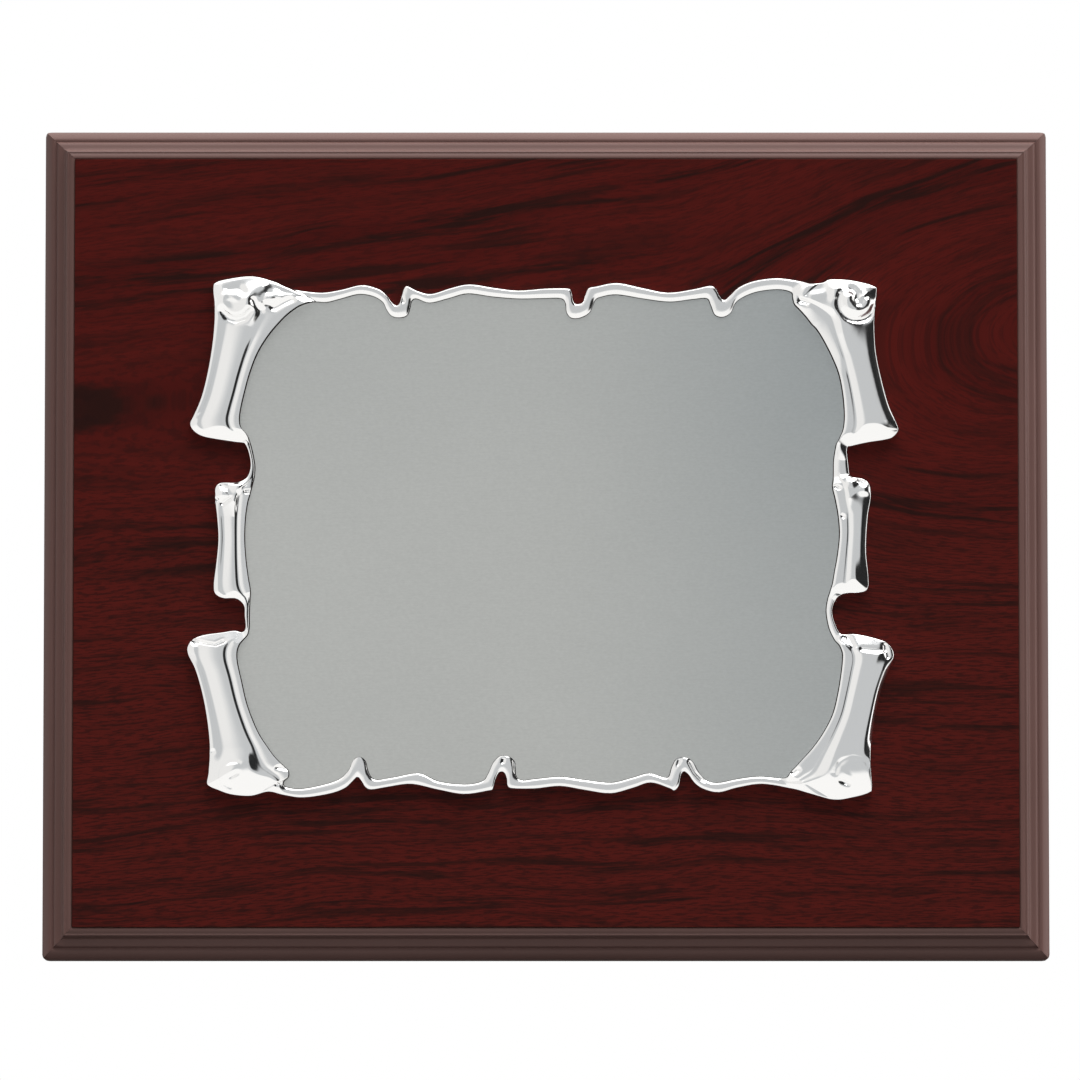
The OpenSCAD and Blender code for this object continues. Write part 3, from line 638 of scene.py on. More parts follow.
MID_LEFT_ROLL = [
    [-89, -17, -85, -16.3], [-92.8, -16.8, -84.9, -14.7], [-95.2, -15.4, -85.1, -13],
    [-95.7, -12.5, -85.5, -10.8], [-95, -6.5, -86.2, -5.5], [-94.4, 0.5, -86.6, 0.5],
    [-94.8, 7, -86.4, 6.5], [-95.4, 12.5, -85.8, 11], [-95.2, 15.6, -85.2, 13.2],
    [-93.5, 17.1, -84.8, 14.8], [-89, 17.3, -84.4, 16.3],
]
LEFT_UPPER_NOTCH = [
    [-86.3, 18.6, -83.9, 18.5], [-85.2, 21.5, -83.7, 21.5], [-85.6, 25, -84.2, 24.8],
    [-86.8, 27.8, -85, 28],
]
TOP_LEFT_ROLL = [
    [-89, 28.2, -85.6, 29.7], [-95, 29.1, -86.3, 31], [-99, 30, -87.2, 32],
    [-101.6, 31.7, -88, 33.3], [-102.6, 34, -88.2, 35.5], [-101.3, 37, -87.8, 38.5],
    [-99.3, 42, -86.9, 42.5], [-97.6, 49, -85.3, 48.5], [-96.3, 57, -83, 54.5],
    [-95.7, 65, -79.7, 59.8], [-96.1, 73, -76.3, 63.8], [-95, 75.2, -74, 66],
    [-90, 76.5, -71.5, 67.8], [-84, 76.9, -69.5, 68.7], [-78, 75.3, -67.6, 69.2],
]
# plain rims and rolls take turns
STRETCHES = [
    TOP_RIM, TOP_RIGHT_ROLL, RIGHT_UPPER_NOTCH, MID_RIGHT_ROLL, RIGHT_LOWER_NOTCH,
    BOTTOM_RIGHT_ROLL, BOTTOM_RIM, BOTTOM_LEFT_ROLL, LEFT_LOWER_NOTCH, MID_LEFT_ROLL,
    LEFT_UPPER_NOTCH, TOP_LEFT_ROLL,
]
RIBS = np.array([rib for ribs in STRETCHES for rib in ribs], float)
print("ribs:", len(RIBS))

# %% [markdown]
# ## From ribs to a net of points
#
# A smooth closed curve through the ribs' ends gives many more stations, and each station is cut
# across into a row of points that lie closer together at the outer edge. For every point the net
# notes its share of the way across its rib and its true distance from the outline, because a
# rounded edge should follow the outline even where the ribs meet it at a slant.

# %% Stations and rows
RIM_STEPS, ROLL_STEPS = 5, 13
# millimetres from the outline, then rows at even shares of what is left
EDGE_ROWS = [0, 0.06, 0.16, 0.3, 0.5, 0.75]
INNER_ROWS, CROWDING = 36, 0.97

steps_after = np.array([
    ROLL_STEPS if number % 2 else RIM_STEPS
    for number, ribs in enumerate(STRETCHES) for rib in ribs
])
# each station's rib and its share of the way to the next rib
RIB_OF = np.repeat(np.arange(len(RIBS)), steps_after)
SHARE_OF = np.concatenate([np.arange(steps) / steps for steps in steps_after])


def curve_through(points):
    """A closed Catmull-Rom curve through the rows of an array, at the stations."""
    before, here, after, beyond = [np.roll(points, -k, axis=0)[RIB_OF] for k in (-1, 0, 1, 2)]
    t = SHARE_OF[:, None]
    return 0.5 * (
        2 * here + (after - before) * t
        + (2 * before - 5 * here + 4 * after - beyond) * t ** 2
        + (3 * here - before - 3 * after + beyond) * t ** 3
    )


def spread(values):
    """Values that stand at the ribs, drawn out linearly to the stations."""
    return values[RIB_OF] * (1 - SHARE_OF) + np.roll(values, -1)[RIB_OF] * SHARE_OF


scroll_low, scroll_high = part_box("scroll_frame")
STRETCH = np.array([
    (scroll_high.x - scroll_low.x) / MM / np.ptp(RIBS[:, 0]),
    (scroll_high.z - scroll_low.z) / MM / np.ptp(RIBS[:, 1]),
])
stations = curve_through(RIBS * np.tile(STRETCH, 2))
edge, field = stations[:, :2], stations[:, 2:]
lengths = np.linalg.norm(field - edge, axis=1)

shares_in = np.linspace(0, 1, INNER_ROWS) ** CROWDING
rows = []
for reach in EDGE_ROWS:
    rows.append(reach / lengths)
for share in shares_in[1:]:
    rows.append((EDGE_ROWS[-1] + share * (lengths - EDGE_ROWS[-1])) / lengths)
S = np.array(rows)
NET = edge[None] + S[:, :, None] * (field - edge)[None]


def distance_to(points, line, closed=False, block=4000):
    """Each point's distance from a chain of straight pieces."""
    start = line if closed else line[:-1]
    end = np.roll(line, -1, axis=0) if closed else line[1:]
    piece = end - start
    square = np.maximum((piece ** 2).sum(1), 1e-9)
    found = []
    for i in range(0, len(points), block):
        gap = points[i:i + block, None] - start[None]
        t = np.clip((gap * piece).sum(2) / square, 0, 1)
        found.append(np.linalg.norm(gap - t[:, :, None] * piece, axis=2).min(1))
    return np.concatenate(found)


flat_net = NET.reshape(-1, 2)
FROM_EDGE = distance_to(flat_net, edge, closed=True).reshape(S.shape)
print("net:", S.shape[1], "stations of", S.shape[0], "points")

# %% [markdown]
# ## The sections of the rims and rolls
#
# Polished metal is best drawn by its slopes, because the slope decides what it mirrors. Each
# section below is a list of [share of the way inwards, slope in degrees], positive where the
# surface rises towards the field. Adding the slopes up gives the height above the board's face.

# %% Sections drawn by their slopes
SECTIONS = {
    "rim": (2.0, 3.0, [
        [0, 60], [0.15, 38], [0.3, 14], [0.5, 0], [0.7, -12], [0.9, -26], [1, -40],
    ]),
    "left": (2.9, 12.4, [
        [0, 50], [0.05, 24], [0.09, 4], [0.13, -7], [0.165, -13], [0.195, -11], [0.23, 4],
        [0.28, 13], [0.4, 12], [0.5, 8], [0.6, 4], [0.7, 0], [0.73, -9], [0.747, -27],
        [0.785, -29], [0.8, -6], [0.82, 28], [0.86, 14], [0.92, 4], [0.96, -3], [1, -8],
    ]),
    "soft_left": (2.9, 12.4, [
        [0, 50], [0.05, 24], [0.09, 4], [0.13, -7], [0.165, -13], [0.195, -11], [0.23, 4],
        [0.28, 13], [0.4, 12], [0.5, 8], [0.6, 3], [0.68, -6], [0.73, -11], [0.77, -5],
        [0.81, 12], [0.88, 7], [0.95, 0], [1, -8],
    ]),
    "right": (2.7, 12.4, [
        [0, 50], [0.04, 38], [0.1, 31], [0.16, 22], [0.23, 10], [0.34, 6], [0.5, 2],
        [0.6, -3], [0.66, -14], [0.7, -26], [0.76, -28], [0.79, -12], [0.81, 22],
        [0.83, 20], [0.86, 3], [0.92, -4], [0.97, -10], [1, -30],
    ]),
    "creamy": (2.7, 12.4, [
        [0, 50], [0.04, 38], [0.1, 31], [0.16, 22], [0.23, 10], [0.34, 6], [0.5, 2],
        [0.58, -3], [0.64, -14], [0.68, -24], [0.73, -24], [0.76, -10], [0.775, 24],
        [0.79, 24], [0.81, 2], [0.83, -9], [0.9, -15], [1, -22],
    ]),
    "lipped": (1.6, 12.4, [
        [0, 62], [0.06, 56], [0.12, 48], [0.16, 20], [0.19, 5], [0.3, 3], [0.5, 2],
        [0.6, 0], [0.66, -16], [0.7, -26], [0.75, -24], [0.78, -8], [0.795, 24],
        [0.815, 20], [0.84, 3], [0.92, -1], [0.97, -8], [1, -30],
    ]),
    "mid_left": (2.7, 8.6, [
        [0, 50], [0.05, 26], [0.1, 4], [0.15, -10], [0.2, -16], [0.25, -4], [0.3, 12],
        [0.42, 12], [0.55, 6], [0.64, -6], [0.67, -27], [0.72, -26], [0.745, 8],
        [0.78, 20], [0.86, 6], [0.94, -3], [1, -8],
    ]),
    "mid_right": (2.6, 8.6, [
        [0, 48], [0.05, 38], [0.12, 33], [0.2, 24], [0.27, 9], [0.4, 2], [0.52, -6],
        [0.6, -20], [0.66, -22], [0.69, 4], [0.71, 20], [0.74, 12], [0.8, 2],
        [0.92, -4], [1, -30],
    ]),
}


def height_of(section, shares):
    """Heights in millimetres at the given shares: the slopes are smoothed, then added up."""
    start, width, slopes = SECTIONS[section]
    grid = np.linspace(0, 1, 1201)
    steep = np.interp(grid, *np.array(slopes, float).T)
    window = np.hanning(25)
    steep = np.convolve(np.pad(steep, 12, mode="edge"), window / window.sum(), "valid")
    rise = np.cumsum(np.tan(np.radians(steep))) * width / len(grid)
    return start + np.interp(shares, grid, rise - rise[0])


for section in SECTIONS:
    line = height_of(section, np.linspace(0, 1, 101))
    print(f"{section}: crest {line.max():.2f} mm, at the field {line[-1]:.2f} mm")

# %% [markdown]
# ## Which section holds where
#
# Each stretch of ribs has one section, and within a roll some ribs belong to its knot or to its
# flared end. The two upper rolls change their section on the way to the knot. The weights are
# drawn out between ribs, so that one form runs into the next.

# %% Weights along the frame
# stretch: its section, the ribs of its knot, the ribs of its flared end
ROLLS = {
    1: ("right", (1, 6), (11, 16)), 3: ("mid_right", (0, 3), (7, 10)),
    5: ("lipped", (9, 13), (0, 4)), 7: ("left", (1, 5), (10, 16)),
    9: ("mid_left", (7, 10), (0, 3)), 11: ("left", (10, 13), (0, 4)),
}
# stretch: the ribs that have a section of their own
SPECIAL = {1: (2, 7, "creamy"), 11: (9, 14, "soft_left")}
weights = {name: [] for name in list(SECTIONS) + ["knot", "flare"]}
for number, ribs in enumerate(STRETCHES):
    roll, knot, flare = ROLLS.get(number, ("rim", (1, 0), (1, 0)))
    for i in range(len(ribs)):
        first, last, special = SPECIAL.get(number, (1, 0, roll))
        section = special if first <= i <= last else roll
        for name in SECTIONS:
            end_rib = roll != "rim" and i in (0, len(ribs) - 1)
            share = 0.5 if end_rib else 1.0
            if name == "rim":
                weights[name].append(1.0 if roll == "rim" else 1.0 - share)
            else:
                weights[name].append(share if name == section else 0.0)
        weights["knot"].append(float(knot[0] <= i <= knot[1]))
        weights["flare"].append(float(flare[0] <= i <= flare[1]))
W = {name: spread(np.array(values)) for name, values in weights.items()}

# %% [markdown]
# ## Knots, curls and creases
#
# The corners carry modelled knots: small spirals and creases that a pattern maker cuts by hand.
# Here each is a stroke, a short chain of points that raises or sinks the surface near it with a
# soft, bell-shaped section. Spirals come from one formula.

# %% Strokes
def spiral(centre, inner, outer, start, turn, points=14):
    """Points of a spiral from its inner to its outer radius; angles in degrees."""
    line = []
    for i in range(points):
        share = i / (points - 1)
        angle = math.radians(start + turn * share)
        radius = inner + (outer - inner) * share
        line.append((centre[0] + radius * math.cos(angle), centre[1] + radius * math.sin(angle)))
    return line


# [half width, height, points], in millimetres
STROKES = [
    # top left knot: a large spiral with a crescent under it, and a small curl
    [4.6, 0.7, [(-90.2, 70.6)]],
    [0.85, -1.1, [(-93.0, 66.4), (-91.2, 64.6), (-89.3, 63.9), (-86.6, 64.7), (-84.9, 66.4)]],
    [1.6, 0.9, spiral((-89.4, 69.6), 3.7, 3.9, 175, 190)],
    [1.2, -0.6, [(-91.2, 72.6), (-88.2, 73.0), (-86.8, 71.4)]],
    [2.2, 0.6, [(-84, 72.2), (-81.6, 73.2)]],
    [0.9, -0.8, [(-84.3, 69.6), (-83.3, 67.6), (-82.3, 66.6)]],
    [1.8, 0.5, [(-80.2, 69.8), (-77.6, 70.2)]],
    [0.8, -0.3, spiral((-79.6, 70.3), 1.6, 2.2, 100, 250)],
    [0.8, -0.8, [(-78.2, 67.2), (-75.6, 68.7), (-73.2, 69.8)]],
    # top right knot: a bright hook in a round boss, and a blob
    [4.4, 0.7, [(89.2, 69.2)]],
    [1.4, 1.0, spiral((89.6, 69.4), 2.7, 3.1, 150, 200)],
    [1.1, -0.6, [(88.0, 72.2), (89.3, 71.0), (89.3, 70.0)]],
    [0.85, -0.9, spiral((89.4, 69.2), 5.3, 5.6, 160, 180)],
    [2.0, 0.9, [(83.2, 72.6), (83.6, 71.2)]],
    [0.8, -0.8, [(73.2, 69.4), (74.8, 69.0)]],
    [1.3, 0.3, [(76.8, 70.8), (79.5, 71.2)]],
    # bottom left knot, nearly smooth
    [3.6, 0.5, [(-90, -66.8)]],
    [0.6, -0.4, [(-90.2, -68), (-88.7, -67.1)]],
    [0.5, -0.25, spiral((-89.4, -67.2), 3.4, 3.9, 60, 200)],
    [0.55, -0.45, [(-97.2, -61.2), (-95.4, -60.8)]],
    [0.5, -0.5, [(-77.2, -70.1), (-76.2, -69.7)]],
    [0.55, -0.7, [(-76.6, -65.3), (-74.2, -65.8)]],
    # bottom right knot, a round boss with a dimple
    [4.4, 0.35, [(88.2, -68)]],
    [0.75, -0.8, [(85.0, -69.3), (86.2, -69.8)]],
    [0.7, -0.3, spiral((88.2, -68), 5.6, 5.6, 20, 150)],
    [0.7, -0.9, [(71.9, -65.9), (70.9, -66.8)]],
    # lower flared ends of the bottom rolls, which turn up and show their inside
    [0.5, -0.7, [(-100.9, -28.6), (-97.4, -29.5), (-94.8, -29.9), (-92.6, -28.9)]],
    [0.7, -0.8, [(-101.2, -28.8), (-100.4, -29.6)]],
    [0.7, -0.45, [(90.6, -31.4), (94.6, -31.7), (97.2, -31.3)]],
    [0.7, -0.7, [(97.3, -30.2), (98.0, -33.4)]],
    [0.7, -0.7, [(86.6, -27.8), (88.1, -30.6)]],
    # middle rolls: two small knots each at the top
    [1.5, 0.7, [(-93.2, 13.4)]],
    [1.7, 0.8, [(-88.6, 15.6)]],
    [0.5, -0.8, [(-92.9, 10.9), (-91.8, 11.7), (-90.6, 12.4)]],
    [0.4, -0.6, [(-94.6, 12.1), (-94.2, 11.6)]],
    [0.55, -0.8, [(-86.0, 14.2), (-85.2, 14.3)]],
    [0.4, -0.5, [(-93.0, 15.8), (-92.2, 15.2)]],
    [1.8, 0.8, [(87.6, 16.6)]],
    [1.6, 0.7, [(91.6, 14.6)]],
    [0.45, -0.6, [(89.8, 17.6), (91.4, 17.0)]],
    [0.5, -0.7, [(83.4, 15.6), (84.2, 15.2)]],
    [0.4, -0.7, [(85.1, 7.1), (85.5, 6.9)]],
    # creases where the rim is torn
    [0.4, -0.6, [(-41.4, 70.6), (-41.0, 69.2)]],
    [0.4, -0.5, [(-12.2, -62.9), (-12.4, -63.8)]],
    [0.4, -0.5, [(-9.2, -63.4), (-8.9, -66.2)]],
    [0.4, -0.5, [(38.2, -63.2), (37.8, -64.4)]],
    [0.5, -0.7, [(41.3, -63.8), (42.6, -66.6), (44.8, -68.8)]],
]
print("strokes:", len(STROKES))

# %% [markdown]
# ## The height of every point
#
# The sections are blended, the knots and flared ends are cut back by a plane that falls towards
# the outline, the strokes are added, and the outermost half millimetre is rounded over so that
# the edge meets the board like a casting's.

# %% Heights over the net
def ramp(values, low, high):
    t = np.clip((values - low) / (high - low), 0, 1)
    return t * t * (3 - 2 * t)


def soft_min(first, second, blend):
    """The lower of two heights, with the crease between them rounded."""
    h = np.clip(0.5 + 0.5 * (second - first) / blend, 0, 1)
    return second * (1 - h) + first * h - blend * h * (1 - h)


ROUNDING = 0.55
FLARE_SLOPE, FLARE_START = math.tan(math.radians(21)), 2.5
KNOT_SLOPE, KNOT_START, KNOT_TOP = math.tan(math.radians(15)), 2.9, 5.0
TOP_LIMIT = (FACE_Y - scroll_low.y) / MM - 0.02

heights = sum(W[name] * height_of(name, S) for name in SECTIONS)
flared = soft_min(heights, FLARE_START + FLARE_SLOPE * FROM_EDGE, 0.15)
heights = heights + W["flare"] * (flared - heights)
# the lower right knot falls towards the lower edge only, so that it mirrors the light below
from_below = (NET[:, :, 1] - edge[:, 1].min()) * ramp(NET[:, :, 0], 60, 75)
leaning = np.where(NET[:, :, 1] < 0, np.maximum(FROM_EDGE, 0.85 * from_below), FROM_EDGE)
swelling = soft_min(np.full_like(heights, KNOT_TOP), KNOT_START + KNOT_SLOPE * leaning, 0.8)
inward = 1 - ramp(S, 0.62, 0.74)
heights = heights + W["knot"] * inward * (swelling - heights)
for half_width, rise, points in STROKES:
    line = np.array(points, float) * STRETCH
    if len(line) == 1:
        away = np.linalg.norm(flat_net - line[0], axis=1)
    else:
        away = distance_to(flat_net, line)
    bell = np.exp(-(away / half_width) ** 2).reshape(S.shape)
    heights = heights + rise * bell * ramp(FROM_EDGE, 0.2, 1.2)
heights = np.minimum(heights, TOP_LIMIT)
roundness = np.sqrt(1 - (1 - np.clip(FROM_EDGE / ROUNDING, 0, 1)) ** 2)
heights = np.maximum(heights * roundness, 0.05)
print("frame heights, mm:", round(heights.min(), 2), "to", round(heights.max(), 2))

# %% [markdown]
# ## The scroll frame as one closed mesh
#
# The net becomes the top surface. A row straight below its inner edge and a row below its outer
# edge close the solid at the board's face, so the result has no open border.

# %% Build the scroll frame
def closed_strip(net, rise):
    """A closed mesh under a net of points, which is a ring along its second axis."""
    rows, count = rise.shape
    floor = 0.02
    points = []
    for r in range(rows):
        for (x, z), h in zip(net[r], rise[r]):
            points.append((x * MM, FACE_Y - h * MM, CENTRE.z + z * MM))
    for r in (rows - 1, 0):
        for x, z in net[r]:
            points.append((x * MM, FACE_Y - floor * MM, CENTRE.z + z * MM))
    faces = []
    for r in range(rows + 2):
        below = (r + 1) % (rows + 2)
        for i in range(count):
            j = (i + 1) % count
            faces.append((r * count + i, r * count + j, below * count + j, below * count + i))
    mesh = bpy.data.meshes.new("strip")
    mesh.from_pydata(points, [], faces)
    mesh.validate()
    return mesh


def face_outwards(mesh):
    work = bmesh.new()
    work.from_mesh(mesh)
    bmesh.ops.recalc_face_normals(work, faces=work.faces)
    volume = work.calc_volume(signed=True)
    if volume < 0:
        bmesh.ops.reverse_faces(work, faces=work.faces)
    work.to_mesh(mesh)
    work.free()
    return abs(volume)


frame_mesh = closed_strip(NET, heights)
volume = face_outwards(frame_mesh)
keep("scroll_frame_cast", frame_mesh, "board", ["scroll_frame"], SILVER, 60)
print("scroll frame, cubic cm:", round(volume * 1e6, 2))

# %% [markdown]
# ## Pressed and cut pieces
#
# Hinge leaves, the hanger plate, the strut and the board's skins have the right shape already,
# but a real edge is never perfectly sharp. Each is copied from its engineering mesh, its loose
# triangles are joined, and a small bevel catches the light along the edges. The broad faces keep
# flat shading: smoothed together with a bevel they would look like pillows.

# %% Bevelled copies of engineering pieces
SAME_SPOT = 1e-6
FLAT_AREA = 40 * MM ** 2
SQUARE_ON = 0.9998
BEVEL_ANGLE = math.radians(40)


def eased(node, name, body, material, width, segments=2):
    mesh = nodes[node].data.copy()
    work = bmesh.new()
    work.from_mesh(mesh)
    bmesh.ops.remove_doubles(work, verts=work.verts, dist=SAME_SPOT)
    bmesh.ops.dissolve_limit(
        work, angle_limit=math.radians(1), verts=work.verts, edges=work.edges
    )
    work.to_mesh(mesh)
    work.free()
    mesh.polygons.foreach_set("use_smooth", [False] * len(mesh.polygons))
    if mesh.attributes.get("sharp_edge"):
        mesh.attributes.remove(mesh.attributes["sharp_edge"])
    thing = link_object("blank", mesh)
    bevel = thing.modifiers.new("ease", "BEVEL")
    bevel.width, bevel.segments = width * MM, segments
    bevel.limit_method, bevel.angle_limit = "ANGLE", BEVEL_ANGLE
    piece = keep(name, evaluate(thing), body, [node], material, 30)
    for face in piece.data.polygons:
        square_on = max(abs(share) for share in face.normal) > SQUARE_ON
        if square_on or face.area > FLAT_AREA:
            face.use_smooth = False


eased("front_veneer", "front_veneer_sheet", "board", MAHOGANY, 0.12)
eased("back_sheet", "back_sheet_paper", "board", BACK_PAPER, 0.1)
eased("keyhole_hanger", "keyhole_hanger_plate", "board", BRASS, 0.25)
eased("hinge_board_leaf", "hinge_board_leaf_plate", "board", BRASS, 0.15)
eased("hinge_strut_leaf", "hinge_strut_leaf_plate", "easel", BRASS, 0.15)
eased("strut", "strut_leather_board", "easel", LEATHER_PAPER, 0.35, 3)

# %% [markdown]
# ## Screws, rivets and bumpers
#
# Small hardware repeats, so each kind is turned once as a blank and a Geometry Nodes tree sets a
# copy on every spot. The spots come from the engineering pieces: each separate solid in the node
# gives the middle of its own box.

# %% Turned blanks
def lathe(outline, sides=40):
    """Turns an outline of [radius, depth] in millimetres round the Y axis into a closed mesh."""
    mesh = bpy.data.meshes.new("turned")
    work = bmesh.new()
    rings = []
    for radius, depth in outline:
        if radius == 0:
            rings.append([work.verts.new((0, depth * MM, 0))])
            continue
        ring = []
        for i in range(sides):
            a = 2 * math.pi * i / sides
            ring.append(work.verts.new(
                (radius * MM * math.cos(a), depth * MM, radius * MM * math.sin(a))
            ))
        rings.append(ring)
    for first, second in zip(rings, rings[1:]):
        for i in range(sides):
            corners = [first[i % len(first)], first[(i + 1) % len(first)],
                       second[(i + 1) % len(second)], second[i % len(second)]]
            unique = list(dict.fromkeys(corners))
            if len(unique) > 2:
                work.faces.new(unique)
    bmesh.ops.recalc_face_normals(work, faces=work.faces)
    work.to_mesh(mesh)
    work.free()
    return mesh


def cross_recess(blank, span, depth):
    """Cuts a cross recess into a head whose top is at depth 0."""
    cutter = bmesh.new()
    for wide, tall in ((span, span * 0.26), (span * 0.26, span)):
        made = bmesh.ops.create_cube(cutter, size=1.0)["verts"]
        for v in made:
            lean = 1.0 if v.co.y > 0 else 0.55
            v.co = Vector((
                v.co.x * wide * lean * MM, v.co.y * 2 * depth * MM,
                v.co.z * tall * lean * MM,
            ))
    cut_mesh = bpy.data.meshes.new("cross")
    cutter.to_mesh(cut_mesh)
    cutter.free()
    tool, thing = link_object("cross", cut_mesh), link_object("head", blank)
    cut = thing.modifiers.new("cut", "BOOLEAN")
    cut.operation, cut.object, cut.solver = "DIFFERENCE", tool, "EXACT"
    cut.use_self = True
    made = evaluate(thing)
    bpy.data.objects.remove(tool)
    return made


def screw_blank(head_r, shank_r, length, pitch=1.3):
    """A countersunk wood screw: its head's flat at depth 0, its point towards the front."""
    head = head_r - shank_r
    outline = [(0, 0), (head_r - 0.12, 0), (head_r, -0.1), (shank_r, -head), (shank_r, -head - 1)]
    depth = -head - 1
    while depth - pitch > -length + 2.2:
        outline += [(shank_r * 0.74, depth - pitch * 0.45), (shank_r, depth - pitch)]
        depth -= pitch
    outline += [(shank_r * 0.7, -length + 1.8), (0, -length)]
    return cross_recess(lathe(outline), head_r * 1.15, 1.0)


SCREW_LOW, SCREW_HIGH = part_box("hanger_screws")
SCREW_L = (SCREW_HIGH.y - SCREW_LOW.y) / MM
SCREW = screw_blank(2.8, 1.5, SCREW_L)
RIVET_LOW, RIVET_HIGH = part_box("strut_rivets")
RIVET_L = (RIVET_HIGH.y - RIVET_LOW.y) / MM
HEAD_H, HEAD_R, RIVET_R = 0.6, 2.6, 1.5
dome = [(HEAD_R * math.cos(a), -HEAD_H + HEAD_H * math.sin(a))
        for a in [math.radians(d) for d in (72, 54, 36, 18, 0)]]
RIVET = lathe([(0, 0)] + dome + [(RIVET_R, -HEAD_H), (RIVET_R, -RIVET_L), (0, -RIVET_L)])
BUMPER_LOW, BUMPER_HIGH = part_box("wall_bumpers")
BUMPER_T = (BUMPER_HIGH.y - BUMPER_LOW.y) / MM
BUMPER = lathe([
    (0, -0.35), (2.4, -0.35), (2.9, -0.05), (3.6, 0), (4.5, -0.12), (5.2, -0.5), (5.62, -1.2),
    (5.8, -2.2), (6, -BUMPER_T + 0.3), (5.9, -BUMPER_T), (0, -BUMPER_T),
], 48)
print("screw, mm:", round(SCREW_L, 1), "rivet, mm:", round(RIVET_L, 1))


# %% The tree that sets a blank on every spot
def scatter_tree():
    tree, ends, last = node_tree(
        "set_on_spots", Blank="Object", Quarter="Float", Seed="Int", Material="Material"
    )
    add = tree.nodes.new
    source = add("GeometryNodeObjectInfo")
    source.inputs["As Instance"].default_value = True
    turn = add("FunctionNodeRandomValue")
    turn.data_type = "FLOAT"
    angle = add("ShaderNodeCombineXYZ")
    copies = add("GeometryNodeInstanceOnPoints")
    whole = add("GeometryNodeRealizeInstances")
    dressed = add("GeometryNodeSetMaterial")
    floats = [s for s in turn.inputs if s.type == "VALUE"]
    links = [
        (ends.outputs["Blank"], source.inputs["Object"]),
        (ends.outputs["Quarter"], floats[1]),
        (ends.outputs["Seed"], turn.inputs["Seed"]),
        ([s for s in turn.outputs if s.type == "VALUE"][0], angle.inputs["Y"]),
        (ends.outputs["Geometry"], copies.inputs["Points"]),
        (source.outputs["Geometry"], copies.inputs["Instance"]),
        (angle.outputs[0], copies.inputs["Rotation"]),
        (copies.outputs[0], whole.inputs[0]),
        (whole.outputs[0], dressed.inputs["Geometry"]),
        (ends.outputs["Material"], dressed.inputs["Material"]),
        (dressed.outputs[0], last.inputs[0]),
    ]
    for start, end in links:
        tree.links.new(start, end)
    return tree


def solid_spots(node, depth_of_top):
    """The middle of each separate solid of a node, at the depth of the blank's top."""
    work = bmesh.new()
    work.from_mesh(nodes[node].data)
    bmesh.ops.remove_doubles(work, verts=work.verts, dist=SAME_SPOT)
    left, spots = set(work.verts), []
    while left:
        group, edge_of = set(), [next(iter(sorted(left, key=lambda v: v.index)))]
        while edge_of:
            vert = edge_of.pop()
            if vert in group:
                continue
            group.add(vert)
            edge_of += [e.other_vert(vert) for e in vert.link_edges]
        left -= group
        xs, zs = [v.co.x for v in group], [v.co.z for v in group]
        spot = ((min(xs) + max(xs)) / 2, depth_of_top, (min(zs) + max(zs)) / 2)
        if all((Vector(spot) - Vector(s)).length > 1.0 * MM for s in spots):
            spots.append(spot)
    work.free()
    return spots


SET_ON_SPOTS = scatter_tree()


def set_pieces(node, name, blank, body, material, quarter, seed):
    spots = solid_spots(node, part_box(node)[1].y)
    mesh = bpy.data.meshes.new(name + "_spots")
    mesh.from_pydata(spots, [], [])
    holder = link_object("blank", blank)
    made = run_tree(
        SET_ON_SPOTS, link_object("host", mesh), Blank=holder, Quarter=quarter, Seed=seed,
        Material=material,
    )
    bpy.data.objects.remove(holder)
    keep(name, made, body, [node], material, 30)
    print(f"  set on {len(spots)} spots")


set_pieces("hanger_screws", "hanger_screw_set", SCREW, "board", ZINC, 1.5, 3)
set_pieces("hinge_screws", "hinge_screw_set", SCREW, "board", ZINC, 1.5, 5)
set_pieces("strut_rivets", "strut_rivet_set", RIVET, "easel", ZINC, 0.0, 1)
set_pieces("wall_bumpers", "wall_bumper_set", BUMPER, "board", RUBBER, 0.0, 1)

# %% [markdown]
# ## The hinge pin
#
# The pin is a plain rod whose two ends are rounded over, turned on the lathe and laid along X.

# %% Hinge pin
pin_low, pin_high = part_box("hinge_pin")
PIN_R = (pin_high.z - pin_low.z) / 2 / MM
PIN_L = (pin_high.x - pin_low.x) / MM
ROUND = 0.4
tip = [(PIN_R - ROUND + ROUND * math.sin(a), ROUND * math.cos(a) - ROUND)
       for a in [math.radians(d) for d in (0, 30, 60, 90)]]
PIN = lathe([(0, 0)] + tip + [(r, -PIN_L - d) for r, d in reversed(tip)] + [(0, -PIN_L)], 32)
PIN.transform(
    Matrix.Translation((pin_high.x, (pin_low.y + pin_high.y) / 2, (pin_low.z + pin_high.z) / 2))
    @ Matrix.Rotation(math.radians(-90), 4, "Z")
)
keep("hinge_pin_rod", PIN, "board", ["hinge_pin"], ZINC, 30)

# %% [markdown]
# ## Pieces that keep their engineering mesh
#
# The core, the satin sheet and the foam pads have plain shapes that are right as they are, so
# they only take their finish.

# %% Finishes for the remaining pieces
for node, material in (
    ("core_panel", FIBREBOARD), ("engraving_sheet", SATIN),
    ("frame_pads", FOAM), ("sheet_pads", FOAM),
):
    slots = nodes[node].data.materials
    slots.clear()
    slots.append(material)

# %% [markdown]
# ## The studio
#
# A polished plate shows the room more than itself, so the room matters. This one is a white
# studio: bright overhead, a paler left, a soft grey wall in front where the camera stands, and a
# tall dark gap to the right that gives the silver its black accents. The camera itself sees pure
# white behind the plaque. The floor is plain and pale, and a large soft lamp lights the top.

# %% World
class Studio(Finish):
    """The world's node tree, built with the same methods as a finish."""

    def __init__(self, name):
        self.world = bpy.data.worlds.new(name)
        self.world.use_nodes = True
        self.tree = self.world.node_tree
        self.tree.nodes.clear()

    def send(self, value):
        output = self.tree.nodes.new("ShaderNodeOutputWorld")
        self.tree.links.new(value.socket, output.inputs["Surface"])


